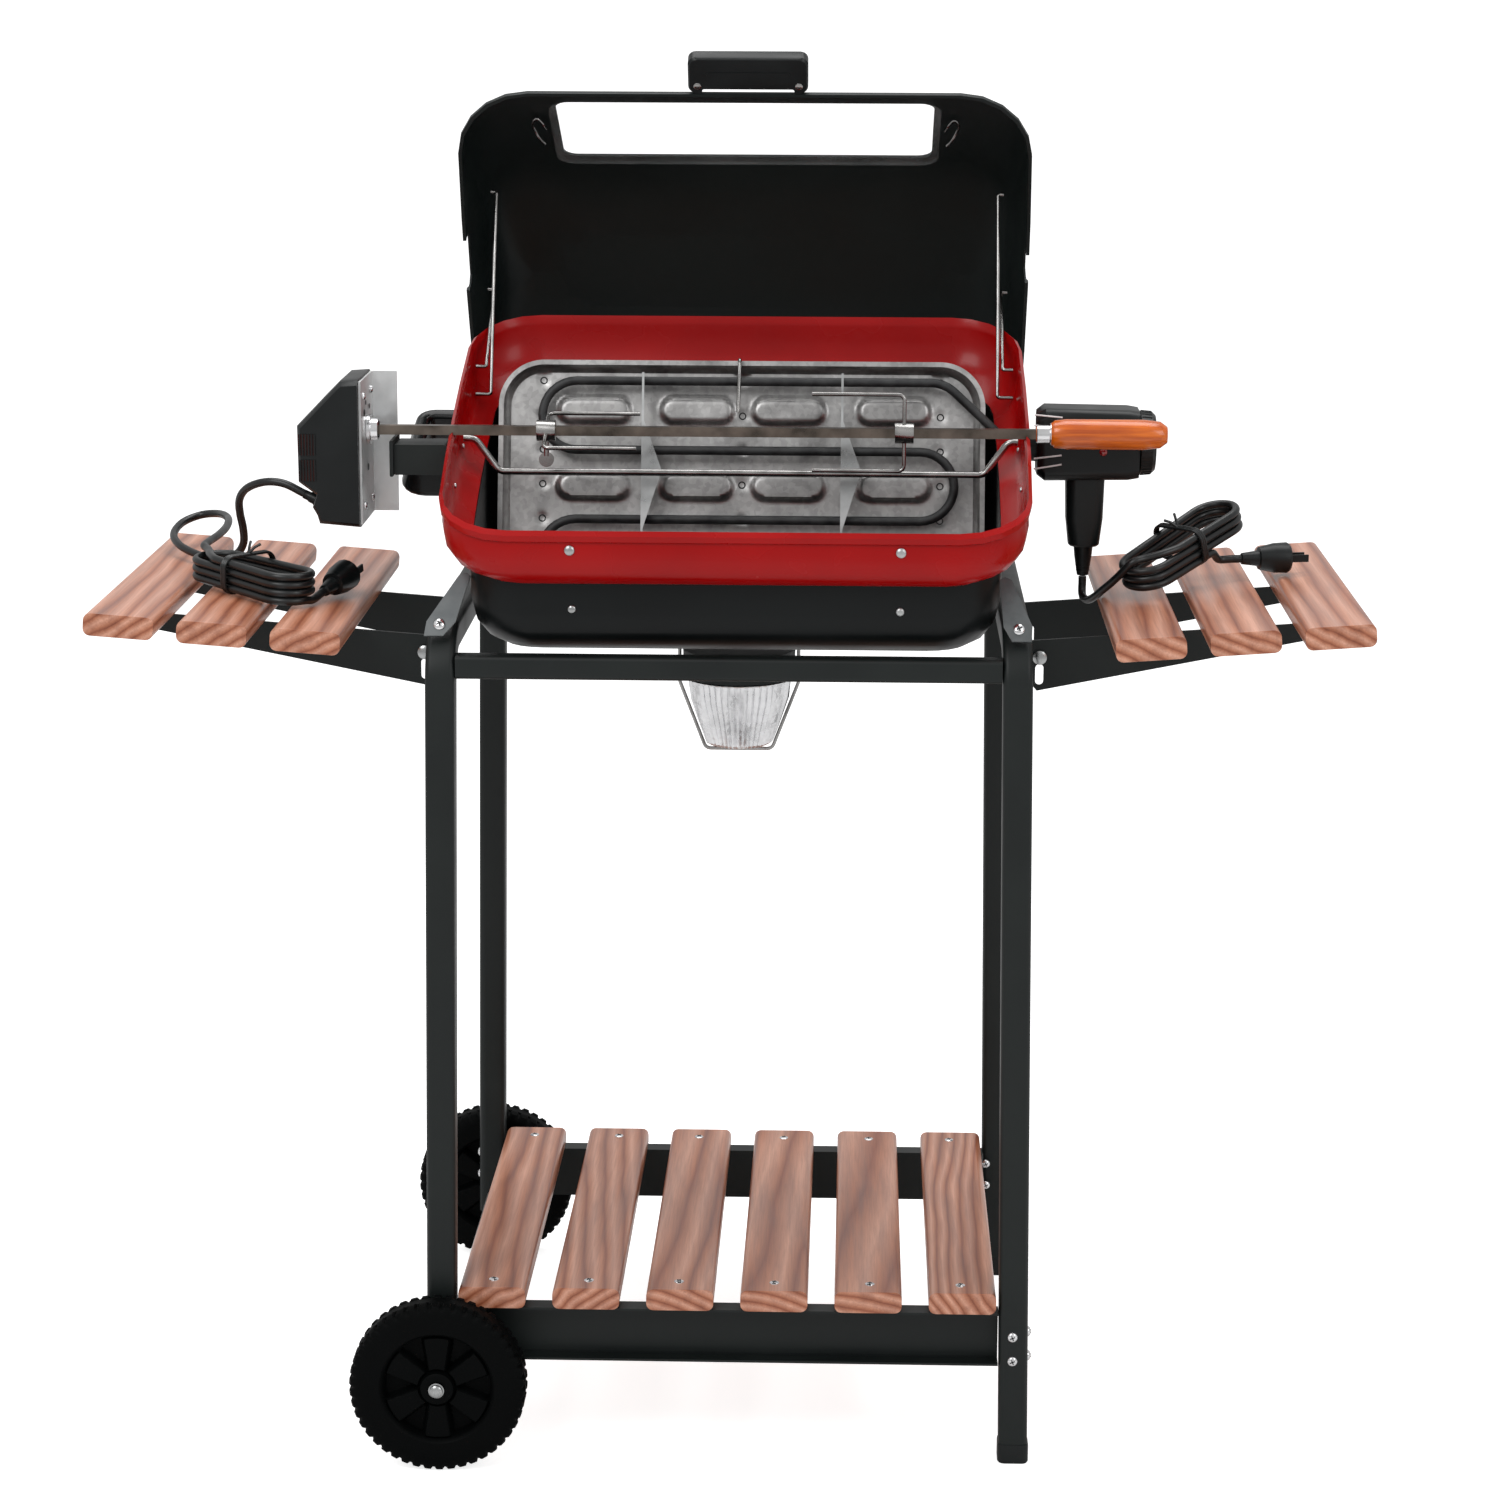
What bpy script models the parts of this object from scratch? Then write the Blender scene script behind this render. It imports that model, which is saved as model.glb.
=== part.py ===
"""Electric rotisserie grill on a two-wheeled cart, with the lid open.

Drawn in millimetres, front towards -Y, then written out in metres with +Z up.
"""

import math

import bmesh
import bpy
from mathutils import Matrix, Vector

MM = 0.001
GAP = 0.3

# Cart
LEG = 25
LEG_HALF_FOOT = 249
LEG_HALF_TOP = 240
FRONT_LEG_Y = -154
REAR_LEG_Y = 303
FRAME_TOP = 734
CROSSBAR_Z = 701
CROSSBAR_SIZE = 20
RAIL_HEIGHT = 48
FRONT_RAIL_TOP = 137
REAR_RAIL_TOP = 128
RAIL_DEPTH = 18
WHEEL_RADIUS = 76.2
WHEEL_WIDTH = 33
AXLE_RADIUS = 5

# Wooden slats
SLAT_WIDTH = 58
SLAT_THICKNESS = 19
BOTTOM_SLATS = 6
BOTTOM_PITCH = 81.2
BOTTOM_SLAT_FRONT = -168
BOTTOM_SLAT_REAR = 292
SHELF_SLATS = 3
SHELF_PITCH = 77
SHELF_INNER_X = 347
SHELF_INNER_Z = 729
SHELF_SLOPE = math.radians(4.2)
SHELF_FRONT = -200
SHELF_REAR = 205
SHELF_PIVOT_X = 258
SHELF_PIVOT_Z = 698
BRACKET_YS = (-80, 97)

# Bowl: its rim and the seam between its two shells lie in parallel tilted planes
BOWL_X = 4
BOWL_HALF_WIDTH = 245
BOWL_FRONT = -185
BOWL_REAR = 185
BOWL_CORNER = 58
BOWL_BULGE = 4
BOWL_FLOOR = 709
RIM_FRONT_Z = 816
RIM_REAR_Z = 956
SEAM_DROP = 52
SEAM_INSET = 23
SHEET = 1.6

# Lid, whose own frame runs from its rear edge to its front edge and up through its dome
LID_LENGTH = math.hypot(BOWL_REAR - BOWL_FRONT, RIM_REAR_Z - RIM_FRONT_Z)
LID_CLOSED_SLOPE = math.atan2(RIM_FRONT_Z - RIM_REAR_Z, BOWL_REAR - BOWL_FRONT)
LID_CLEARANCE = 2
LID_OVERLAP = 4.5
LID_DOME = 122
LID_OPEN_REAR = Vector((BOWL_X, 278, 814))
LID_OPEN_SLOPE = math.radians(60)
WINDOW_FRONT = 383
WINDOW_REAR = 282
WINDOW_WIDTH = 332
WIRE_RADIUS = 1.6
WIRE_FOOT_REACH = 239
STAY_HEAD = (270, 42)
STAY_FOOT_Z = 895
LINK_HEAD = (183, 14)
LINK_FOOT_Z = 919

# Spit
SPIT_Y = -20
SPIT_Z = 880.4
SPIT_SIZE = 8
SPIT_LEFT = -325
SPIT_RIGHT = 270
HANDLE_END = 370
FORK_REACH = 79
FORK_HALF_SPREAD = 33

# Thermostat, plugged into the bowl's right side
CONTROLLER_X = 304
CONTROLLER_Y = 36
CONTROLLER_Z = 866
RELIEF_LOW = 749

# Reflector pan and heating element, leaning back inside the bowl
PAN_TOP = Vector((3.5, 90, 926.5))
PAN_TILT = math.radians(75)
PAN_HALF_WIDTH = 214
PAN_HEIGHT = 217
PAN_DEPTH = 11
PAN_CORNER = 40
ELEMENT_RADIUS = 4
ELEMENT_PITCH = 61
ELEMENT_TOP = 19
ELEMENT_LIFT = 17.2

# Cords
CORD_RADIUS = 3.5
BUNDLE_WIDTH = 50
BUNDLE_THICKNESS = 32

# Moves the drawing so that the middle of its base is the origin
SHIFT = Vector((0, -78, 0))

MATERIALS = {
    "black_paint": ((0.012, 0.013, 0.013), 0.35, 0.0),
    "red_enamel": ((0.42, 0.008, 0.012), 0.15, 0.0),
    "black_plastic": ((0.015, 0.015, 0.016), 0.4, 0.0),
    "stained_wood": ((0.42, 0.14, 0.06), 0.35, 0.0),
    "handle_wood": ((0.60, 0.20, 0.04), 0.25, 0.0),
    "aluminised_steel": ((0.62, 0.62, 0.60), 0.35, 1.0),
    "zinc_steel": ((0.66, 0.67, 0.68), 0.30, 1.0),
    "element_steel": ((0.07, 0.075, 0.08), 0.5, 0.6),
    "glass": ((0.9, 0.92, 0.92), 0.05, 0.0),
    "foil": ((0.85, 0.85, 0.86), 0.25, 1.0),
    "cord_rubber": ((0.014, 0.014, 0.015), 0.45, 0.0),
}


def clear_scene():
    for obj in list(bpy.data.objects):
        bpy.data.objects.remove(obj)


def material(name):
    """Returns the named material, made the first time it is asked for."""
    if name in bpy.data.materials:
        return bpy.data.materials[name]
    colour, roughness, metallic = MATERIALS[name]
    made = bpy.data.materials.new(name)
    made.use_nodes = True
    shader = made.node_tree.nodes["Principled BSDF"]
    shader.inputs["Base Color"].default_value = (*colour, 1)
    shader.inputs["Roughness"].default_value = roughness
    shader.inputs["Metallic"].default_value = metallic
    made.diffuse_color = (*colour, 1)
    return made


def add(name, bm, material_name, origin=(0, 0, 0)):
    """Turns a bmesh drawn in millimetres into an object whose origin is at the given point."""
    bmesh.ops.recalc_face_normals(bm, faces=bm.faces)
    origin = Vector(origin)
    for vertex in bm.verts:
        vertex.co = (vertex.co - origin) * MM
    mesh = bpy.data.meshes.new(name)
    bm.to_mesh(mesh)
    bm.free()
    mesh.materials.append(material(material_name))
    obj = bpy.data.objects.new(name, mesh)
    obj.location = (origin + SHIFT) * MM
    bpy.context.scene.collection.objects.link(obj)
    return obj


def boolean(obj, tool, operation):
    """Cuts or joins a helper mesh, which stays out of the render."""
    tool.hide_render = True
    tool.display_type = "WIRE"
    change = obj.modifiers.new(tool.name, "BOOLEAN")
    change.operation = operation
    change.solver = "EXACT"
    change.object = tool


def cut(obj, tool_name, bm):
    boolean(obj, add(tool_name, bm, "black_paint"), "DIFFERENCE")


def join(obj, tool_name, bm):
    boolean(obj, add(tool_name, bm, "black_paint"), "UNION")


def loft(rings, closed_loop=False):
    """Skins a row of rings. The row's two ends are capped, or joined when it is a closed loop."""
    bm = bmesh.new()
    rows = [[bm.verts.new(point) for point in ring] for ring in rings]
    pairs = list(zip(rows, rows[1:]))
    if closed_loop:
        pairs.append((rows[-1], rows[0]))
    else:
        bm.faces.new(rows[0])
        bm.faces.new(rows[-1])
    count = len(rows[0])
    for low, high in pairs:
        for i in range(count):
            j = (i + 1) % count
            bm.faces.new((low[i], low[j], high[j], high[i]))
    return bm


def circle(radius, steps=16):
    angles = [2 * math.pi * i / steps for i in range(steps)]
    return [(radius * math.cos(a), radius * math.sin(a)) for a in angles]


def rounded_rectangle(half_width, low, high, radius, steps=5, bulge=0, side_steps=4):
    """An outline in a plane: width along the first axis, from low to high along the second."""
    points = []
    middle = (low + high) / 2
    half_height = (high - low) / 2
    corners = (
        (half_width - radius, high - radius, 0),
        (-half_width + radius, high - radius, 90),
        (-half_width + radius, low + radius, 180),
        (half_width - radius, low + radius, 270),
    )
    for number, (x, y, start) in enumerate(corners):
        for i in range(steps + 1):
            angle = math.radians(start + 90 * i / steps)
            points.append((x + radius * math.cos(angle), y + radius * math.sin(angle)))
        if number in (1, 3):
            side_x, side_y = points[-1]
            for i in range(1, side_steps):
                points.append((side_x, side_y + (2 * (middle - side_y)) * i / side_steps))
    stretch = bulge / half_width
    return [(x * (1 + stretch * (1 - ((y - middle) / half_height) ** 2)), y) for x, y in points]


def box(centre, size, radius=0.0, steps=3):
    """A block whose four long edges along Y are rounded."""
    half = Vector(size) / 2
    if radius:
        outline = rounded_rectangle(half.x, -half.z, half.z, radius, steps, side_steps=1)
    else:
        outline = [(half.x, half.z), (-half.x, half.z), (-half.x, -half.z), (half.x, -half.z)]
    rings = []
    for y in (-half.y, half.y):
        rings.append([Vector((x, y, z)) + Vector(centre) for x, z in outline])
    return loft(rings)


def turned(profile, centre, axis, steps=32):
    """Turns a profile of (distance along the axis, radius) points about an axis through centre."""
    turn = Vector((0, 0, 1)).rotation_difference(Vector(axis))
    rings = []
    for along, radius in profile:
        ring = [Vector((x, y, along)) for x, y in circle(radius, steps)]
        rings.append([turn @ point + Vector(centre) for point in ring])
    return rings


def fillet(points, radius, steps=6):
    """Replaces each inner corner of a polyline with an arc."""
    points = [Vector(point) for point in points]
    path = [points[0]]
    for before, corner, after in zip(points, points[1:], points[2:]):
        back = (before - corner).normalized()
        ahead = (after - corner).normalized()
        inside = back.angle(ahead)
        centre = corner + (back + ahead).normalized() * radius / math.sin(inside / 2)
        start = corner + back * radius / math.tan(inside / 2) - centre
        spin = start.cross(corner - centre).normalized()
        for i in range(steps + 1):
            turn = Matrix.Rotation((math.pi - inside) * i / steps, 3, spin)
            path.append(centre + turn @ start)
    path.append(points[-1])
    return path


def sweep(section, path, side):
    """Carries a section along a path. The section's first axis starts out along side."""
    path = [Vector(point) for point in path]
    rings = []
    side = Vector(side)
    for i, point in enumerate(path):
        before = (point - path[max(i - 1, 0)]).normalized()
        after = (path[min(i + 1, len(path) - 1)] - point).normalized()
        along = (before + after).normalized()
        side = (side - along * side.dot(along)).normalized()
        up = along.cross(side)
        rings.append([point + side * u + up * v for u, v in section])
    return loft(rings)


def rim_z(y):
    return RIM_FRONT_Z + (RIM_REAR_Z - RIM_FRONT_Z) * (y - BOWL_FRONT) / (BOWL_REAR - BOWL_FRONT)


def bowl_ring(inset, height_at):
    """The bowl's outline, moved inwards by inset and lifted to height_at(y)."""
    outline = rounded_rectangle(
        BOWL_HALF_WIDTH - inset,
        BOWL_FRONT + inset,
        BOWL_REAR - inset,
        BOWL_CORNER - inset / 2,
        bulge=BOWL_BULGE,
    )
    return [Vector((BOWL_X + x, y, height_at(y))) for x, y in outline]


def upper_shell():
    """The red band: a rolled rim, a nearly upright wall and a turned-in lower edge."""
    outside = [(3, -3), (0, 0), (0.6, 5), (3, 7), (2.5, 20), (4.5, 32), (10, 42), (SEAM_INSET, SEAM_DROP)]
    rings = []
    for inset, drop in outside:
        rings.append(bowl_ring(inset, lambda y, drop=drop: rim_z(y) - drop))
    for inset, drop in reversed(outside[3:]):
        rings.append(bowl_ring(inset + SHEET, lambda y, drop=drop: rim_z(y) - drop + SHEET))
    rings.append(bowl_ring(4.5, lambda y: rim_z(y) - 2))
    obj = add("bowl_upper", loft(rings, closed_loop=True), "red_enamel")
    notch = box((BOWL_X, SPIT_Y, SPIT_Z + 2), (2 * BOWL_HALF_WIDTH + 40, 12, 16))
    cut(obj, "spit_notch", notch)


def lower_shell():
    """The black pan below the seam: upright at the seam, then rounded into a flat floor."""
    top_inset = SEAM_INSET + 0.5

    def level(share):
        return lambda y: BOWL_FLOOR + (rim_z(y) - SEAM_DROP - GAP - BOWL_FLOOR) * share

    outside = [(1.0, 0), (0.6, 0.5), (0.34, 5), (0.16, 15), (0.05, 29), (0.0, 50)]
    rings = []
    for share, inset in reversed(outside):
        rings.append(bowl_ring(top_inset + inset, level(share)))
    for share, inset in outside:
        height = level(share)
        lift = SHEET if share < 1 else 0
        rings.append(bowl_ring(top_inset + inset + SHEET, lambda y, h=height, l=lift: h(y) + l))
    obj = add("bowl_lower", loft(rings), "black_paint")
    drain = loft(turned([(-10, 9), (10, 9)], (BOWL_X, 0, BOWL_FLOOR), (0, 0, 1)))
    cut(obj, "drain_hole", drain)


def slope_frame(slope):
    """The lid's directions towards its front edge and out through its dome, at the given slope."""
    forward = Vector((0, -math.cos(slope), math.sin(slope)))
    outward = Vector((0, math.sin(slope), math.cos(slope)))
    return forward, outward


def lid_point(x, along, up):
    """Places a point of the open lid: along from the rear edge, up through the dome."""
    forward, outward = slope_frame(LID_OPEN_SLOPE)
    return LID_OPEN_REAR + Vector((x, 0, 0)) + forward * along + outward * up


def closed_lid_point(x, along, up):
    forward, outward = slope_frame(LID_CLOSED_SLOPE)
    rear = Vector((BOWL_X, BOWL_REAR, RIM_REAR_Z)) - outward * LID_OVERLAP
    return rear + Vector((x, 0, 0)) + forward * along + outward * up


def lid_pivot():
    """The axis about which the lid turns from its closed place to its open place."""
    closed = closed_lid_point(0, 0, 0)
    move = LID_OPEN_REAR - closed
    half_turn = (LID_OPEN_SLOPE - LID_CLOSED_SLOPE) / 2
    return (closed + LID_OPEN_REAR) / 2 - Vector((0, -move.z, move.y)) / (2 * math.tan(half_turn))


def wire_foot(head, foot_z):
    """Where a lid wire pivots on the bowl: as far from its open head as from its closed head."""
    opened = lid_point(0, *head)
    closed = closed_lid_point(0, *head)
    middle = (opened + closed) / 2
    across = opened - closed
    return Vector((0, middle.y - across.z * (foot_z - middle.z) / across.y, foot_z))


def lid_ring(height, front, rear, side, radius):
    """A ring of the lid, set in from its plain outline by the three margins."""
    half = BOWL_HALF_WIDTH - side
    outline = rounded_rectangle(half, rear, LID_LENGTH - front, radius, bulge=BOWL_BULGE)
    return [lid_point(x, along, height) for x, along in outline]


def lid():
    """A drawn shell: upright rear and sides, and a long slope at the front that holds the window."""
    outside = [
        (0, -5, -5, -5, 62),
        (4, -5, -5, -5, 62),
        (6, -3.6, -3.6, -3.6, 61),
        (45, 52, 3, 0, 60),
        (85, 112, 10, 4, 58),
        (100, 138, 18, 10, 58),
        (112, 170, 34, 22, 60),
        (LID_DOME - 3, 203, 60, 43, 64),
        (LID_DOME, 225, 85, 68, 40),
    ]
    rings = [lid_ring(*row) for row in reversed(outside)]
    for height, front, rear, side, radius in outside:
        if height < 6:
            rings.append(lid_ring(height, -LID_CLEARANCE, -LID_CLEARANCE, -LID_CLEARANCE, radius - 2))
        else:
            rings.append(lid_ring(height - SHEET, front + SHEET, rear + SHEET, side + SHEET, radius - 1))
    obj = add("lid", loft(rings), "black_paint", lid_pivot())
    cut(obj, "window_hole", window_slab(0, 30, 0))
    spit = spit_in_lid()
    # The notch is wider on the left, where the motor's bracket stands round the spit.
    notch = []
    for x, half in ((-400, 27), (0, 27), (1, 15), (400, 15)):
        corners = ((-half, -20), (half, -20), (half, 4), (half - 6, 10), (6 - half, 10), (-half, 4))
        notch.append([lid_point(x, spit[0] + along, spit[1] + up) for along, up in corners])
    cut(obj, "spit_notch_in_lid", loft(notch))


def spit_in_lid():
    """The spit's place in the closed lid's own frame."""
    forward, outward = slope_frame(LID_CLOSED_SLOPE)
    from_rear = Vector((BOWL_X, SPIT_Y, SPIT_Z)) - closed_lid_point(0, 0, 0)
    return from_rear.dot(forward), from_rear.dot(outward)


def window_slab(grow, half_thickness, lift):
    """A rounded slab over the window opening, grown at its edges and lifted off the lid's face."""
    front = lid_point(0, WINDOW_FRONT, 17)
    rear = lid_point(0, WINDOW_REAR, 86)
    ahead = (front - rear).normalized()
    outward = ahead.cross(Vector((1, 0, 0)))
    half_length = (front - rear).length / 2 + grow
    outline = rounded_rectangle(WINDOW_WIDTH / 2 + grow, -half_length, half_length, 12 + grow)
    rings = []
    for level in (lift - half_thickness, lift + half_thickness):
        middle = (front + rear) / 2 + outward * level
        rings.append([middle + Vector((x, 0, 0)) + ahead * y for x, y in outline])
    return loft(rings)


def lid_fittings():
    pivot = lid_pivot()
    add("lid_window", window_slab(6, 1.5, -6), "glass", pivot)
    rings = []
    for up, inset in ((0, 1.5), (2, 0), (12, 0), (14, 1.5)):
        outline = rounded_rectangle(52 - inset, LID_LENGTH + 5.3, LID_LENGTH + 41 - inset, 7, side_steps=1)
        rings.append([lid_point(x + 4, along, up) for x, along in outline])
    obj = add("lid_handle", loft(rings), "black_plastic", pivot)
    slot = []
    for up in (-5, 20):
        outline = rounded_rectangle(40, LID_LENGTH, LID_LENGTH + 10, 2, side_steps=1)
        slot.append([lid_point(x + 4, along, up) for x, along in outline])
    cut(obj, "handle_slot", loft(slot))
    for side, name in ((-1, "left"), (1, "right")):
        lid_wire(f"lid_stay_{name}", side, STAY_HEAD, STAY_FOOT_Z, 225.5, 5)
        lid_wire(f"lid_link_{name}", side, LINK_HEAD, LINK_FOOT_Z, 230, 6)


def lid_wire(name, side, head, foot_z, offset, hook):
    """A wire arm with its ends bent outwards: the foot into the bowl's side, the head hooked at the lid's."""
    foot = wire_foot(head, foot_z)
    inner = BOWL_X + side * offset
    outer = BOWL_X + side * WIRE_FOOT_REACH
    tip = inner + side * hook
    top = lid_point(0, *head)
    points = [
        (outer, foot.y, foot.z),
        (inner, foot.y, foot.z),
        (inner, top.y, top.z),
        (tip, top.y, top.z),
    ]
    path = fillet(points, 2.2, 3)
    add(name, sweep(circle(WIRE_RADIUS, 10), path, (0, 1, 0)), "zinc_steel", (inner, foot.y, foot.z))


def leg_x(z):
    return LEG_HALF_TOP + (LEG_HALF_FOOT - LEG_HALF_TOP) * (1 - z / FRAME_TOP)


def leg_frame(side, name, foot_z):
    """Front leg, top and rear leg: one bent square tube."""
    top = FRAME_TOP - LEG / 2
    foot = side * leg_x(foot_z)
    head = side * leg_x(top)
    points = [
        (foot, FRONT_LEG_Y, foot_z - 4),
        (head, FRONT_LEG_Y, top),
        (head, REAR_LEG_Y, top),
        (foot, REAR_LEG_Y, foot_z - 4),
    ]
    section = rounded_rectangle(LEG / 2, -LEG / 2, LEG / 2, 5, 3, side_steps=1)
    obj = add(f"leg_frame_{name}", sweep(section, fillet(points, 34), (1, 0, 0)), "black_paint")
    cut(obj, f"level_feet_{name}", box((foot, 0, foot_z - 20), (100, 1000, 40)))
    return obj


def rail(name, y, top, facing):
    """A channel pressed from sheet, open away from the side it faces."""
    inner = leg_x(top) - LEG / 2 - GAP
    half = RAIL_DEPTH / 2
    low = top - RAIL_HEIGHT
    outline = [
        (half, top),
        (-half, top),
        (-half, low),
        (half, low),
        (half, low + 2),
        (2 - half, low + 2),
        (2 - half, top - 2),
        (half, top - 2),
    ]
    rings = [[Vector((x, y - facing * depth, z)) for depth, z in outline] for x in (-inner, inner)]
    add(name, loft(rings), "black_paint")


def frame():
    axle_z = WHEEL_RADIUS
    for side, name, foot_z in ((-1, "left", axle_z - 16), (1, "right", GAP)):
        legs = leg_frame(side, name, foot_z)
        if side < 0:
            radius = AXLE_RADIUS + 0.05
            bore = turned([(-500, radius), (500, radius)], (-leg_x(axle_z), 0, axle_z), (0, 1, 0), 24)
            cut(legs, "axle_bore", loft(bore))
    inner = leg_x(CROSSBAR_Z + CROSSBAR_SIZE / 2) - LEG / 2 - GAP
    for y, name in ((FRONT_LEG_Y, "front"), (REAR_LEG_Y, "rear")):
        half = CROSSBAR_SIZE / 2
        outline = rounded_rectangle(half, -half, half, 4, 3, side_steps=1)
        rings = [[Vector((x, y + a, CROSSBAR_Z + b)) for a, b in outline] for x in (-inner, inner)]
        add(f"crossbar_{name}", loft(rings), "black_paint")
    rail("shelf_rail_front", FRONT_LEG_Y, FRONT_RAIL_TOP, 1)
    rail("shelf_rail_rear", REAR_LEG_Y - 8, REAR_RAIL_TOP, -1)


def wheels():
    axle_z = WHEEL_RADIUS
    x = -leg_x(axle_z)
    front = FRONT_LEG_Y - LEG / 2 - 3 - WHEEL_WIDTH / 2
    rear = REAR_LEG_Y + LEG / 2 + 10 + WHEEL_WIDTH / 2
    half = WHEEL_WIDTH / 2
    bore = AXLE_RADIUS + 0.05
    profile = [
        (-half, bore),
        (-half, 13),
        (-half + 8, 15),
        (-half + 8, 50),
        (-half + 2, 54),
        (-half, 58),
        (-half, 69),
        (-half + 5, WHEEL_RADIUS),
        (half - 5, WHEEL_RADIUS),
        (half, 69),
        (half, 58),
        (half - 2, 54),
        (half - 8, 50),
        (half - 8, 15),
        (half, 13),
        (half, bore),
    ]
    for y, name in ((front, "wheel_front"), (rear, "wheel_rear")):
        rings = turned(profile, (x, y, axle_z), (0, 1, 0), 48)
        add(name, loft(rings, closed_loop=True), "black_plastic", (x, y, axle_z))
    ends = (front - half - 4, rear + half + 4)
    rod = turned([(ends[0], AXLE_RADIUS), (ends[1], AXLE_RADIUS)], (x, 0, axle_z), (0, 1, 0), 24)
    add("axle", loft(rod), "zinc_steel")


def slat(centre, length, turn):
    bm = box((0, 0, 0), (SLAT_WIDTH, length, SLAT_THICKNESS), 6, 4)
    bmesh.ops.transform(bm, matrix=Matrix.Translation(centre) @ turn, verts=bm.verts)
    return bm


def bottom_shelf():
    run = BOTTOM_SLAT_REAR - BOTTOM_SLAT_FRONT
    middle_y = (BOTTOM_SLAT_REAR + BOTTOM_SLAT_FRONT) / 2
    front_y = FRONT_LEG_Y
    rear_y = REAR_LEG_Y - 8
    slope = math.atan2(REAR_RAIL_TOP - FRONT_RAIL_TOP, rear_y - front_y)
    middle_z = FRONT_RAIL_TOP + (middle_y - front_y) * math.tan(slope) + SLAT_THICKNESS / 2 + 2 * GAP
    for i in range(BOTTOM_SLATS):
        x = (i - (BOTTOM_SLATS - 1) / 2) * BOTTOM_PITCH
        turn = Matrix.Rotation(slope, 4, "X")
        add(f"bottom_slat_{i + 1}", slat((x, middle_y, middle_z), run, turn), "stained_wood")


def side_shelf(side, name):
    """Three slats on two tapered sheet arms, which fold down about a pivot beside the legs."""
    pivot = (side * SHELF_PIVOT_X, 0, SHELF_PIVOT_Z)
    rise = math.tan(SHELF_SLOPE)
    middle_y = (SHELF_FRONT + SHELF_REAR) / 2
    for i in range(SHELF_SLATS):
        out = i * SHELF_PITCH
        centre = (side * (SHELF_INNER_X + out), middle_y, SHELF_INNER_Z + out * rise)
        turn = Matrix.Rotation(-side * SHELF_SLOPE, 4, "Y")
        bm = slat(centre, SHELF_REAR - SHELF_FRONT, turn)
        add(f"shelf_slat_{name}_{i + 1}", bm, "stained_wood", pivot)
    under = SHELF_INNER_Z - SLAT_THICKNESS / 2 / math.cos(SHELF_SLOPE) - GAP
    inner = SHELF_PIVOT_X - 4
    outer = SHELF_INNER_X + 2 * SHELF_PITCH + 6
    outline = [
        (inner, under + (inner - SHELF_INNER_X) * rise),
        (inner, SHELF_PIVOT_Z - 22),
        (inner + 6, SHELF_PIVOT_Z - 29),
        (outer - 3, under + (outer - SHELF_INNER_X) * rise - 13),
        (outer, under + (outer - SHELF_INNER_X) * rise - 9),
        (outer, under + (outer - SHELF_INNER_X) * rise),
    ]
    for y, place in zip(BRACKET_YS, ("front", "rear")):
        rings = [[Vector((side * x, y + depth, z)) for x, z in outline] for depth in (-1.5, 1.5)]
        obj = add(f"shelf_bracket_{name}_{place}", loft(rings), "black_paint", pivot)
        slot = rounded_rectangle(3.5, -9, 9, 3.4, side_steps=1)
        middle = Vector((side * (SHELF_PIVOT_X + 4), y, SHELF_PIVOT_Z - 15))
        hole = [[middle + Vector((a, depth, b)) for a, b in slot] for depth in (-9, 9)]
        cut(obj, f"keyhole_{name}_{place}", loft(hole))


def spit():
    centre = Vector((0, SPIT_Y, SPIT_Z))
    half = SPIT_SIZE / 2
    square = [(half, half), (-half, half), (-half, -half), (half, -half)]
    rings = [[centre + Vector((SPIT_LEFT, a * 0.4, b * 0.4)) for a, b in square]]
    for x in (SPIT_LEFT + 8, SPIT_RIGHT - 4):
        rings.append([centre + Vector((x, a, b)) for a, b in square])
    add("spit_rod", loft(rings), "zinc_steel", centre)
    profile = [
        (SPIT_RIGHT - 12, 6.2),
        (SPIT_RIGHT, 6.6),
        (SPIT_RIGHT + 0.5, 9),
        (SPIT_RIGHT + 4, 12),
        (SPIT_RIGHT + 14, 13),
        (HANDLE_END - 20, 13),
        (HANDLE_END - 6, 11.5),
        (HANDLE_END, 7),
    ]
    handle = add("spit_handle", loft(turned(profile, centre, (1, 0, 0), 24)), "handle_wood", centre)
    socket = box((SPIT_RIGHT - 12, SPIT_Y, SPIT_Z), (18, SPIT_SIZE + 2 * GAP, SPIT_SIZE + 2 * GAP))
    cut(handle, "handle_socket", socket)
    fork("left", -161.7, 1, math.radians(19))
    fork("right", 145.4, -1, math.radians(90))
    screw_axis = Vector((-161.7, SPIT_Y, SPIT_Z))
    shank = turned([(9.5, 2.4), (22, 2.4)], screw_axis, (0, 0, -1), 12)
    screw = add("fork_screw", loft(shank), "zinc_steel", screw_axis - Vector((0, 0, 16)))
    disc = turned([(-1.3, 6.5), (1.3, 6.5)], screw_axis - Vector((0, 0, 25)), (0, 1, 0), 20)
    join(screw, "fork_screw_head", loft(disc))


def fork(name, x, toward, lean):
    """A collar on the rod with two bent prongs, turned about the rod by lean."""
    centre = Vector((x, SPIT_Y, SPIT_Z))
    collar = turned([(-8, 9), (8, 9)], centre, (1, 0, 0), 20)
    obj = add(f"fork_{name}", loft(collar), "zinc_steel", centre)
    for number, side in enumerate((-1, 1)):
        out = Vector((0, math.cos(lean), math.sin(lean))) * side
        points = [centre + out * 7, centre + out * FORK_HALF_SPREAD]
        points.append(points[-1] + Vector((toward * FORK_REACH, 0, 0)))
        prong = sweep(circle(1.8, 10), fillet(points, 5, 4), (0, out.z, -out.y))
        join(obj, f"prong_{name}_{number}", prong)
    size = SPIT_SIZE + 2 * GAP
    cut(obj, f"rod_hole_{name}", box(centre, (40, size, size)))


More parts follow.
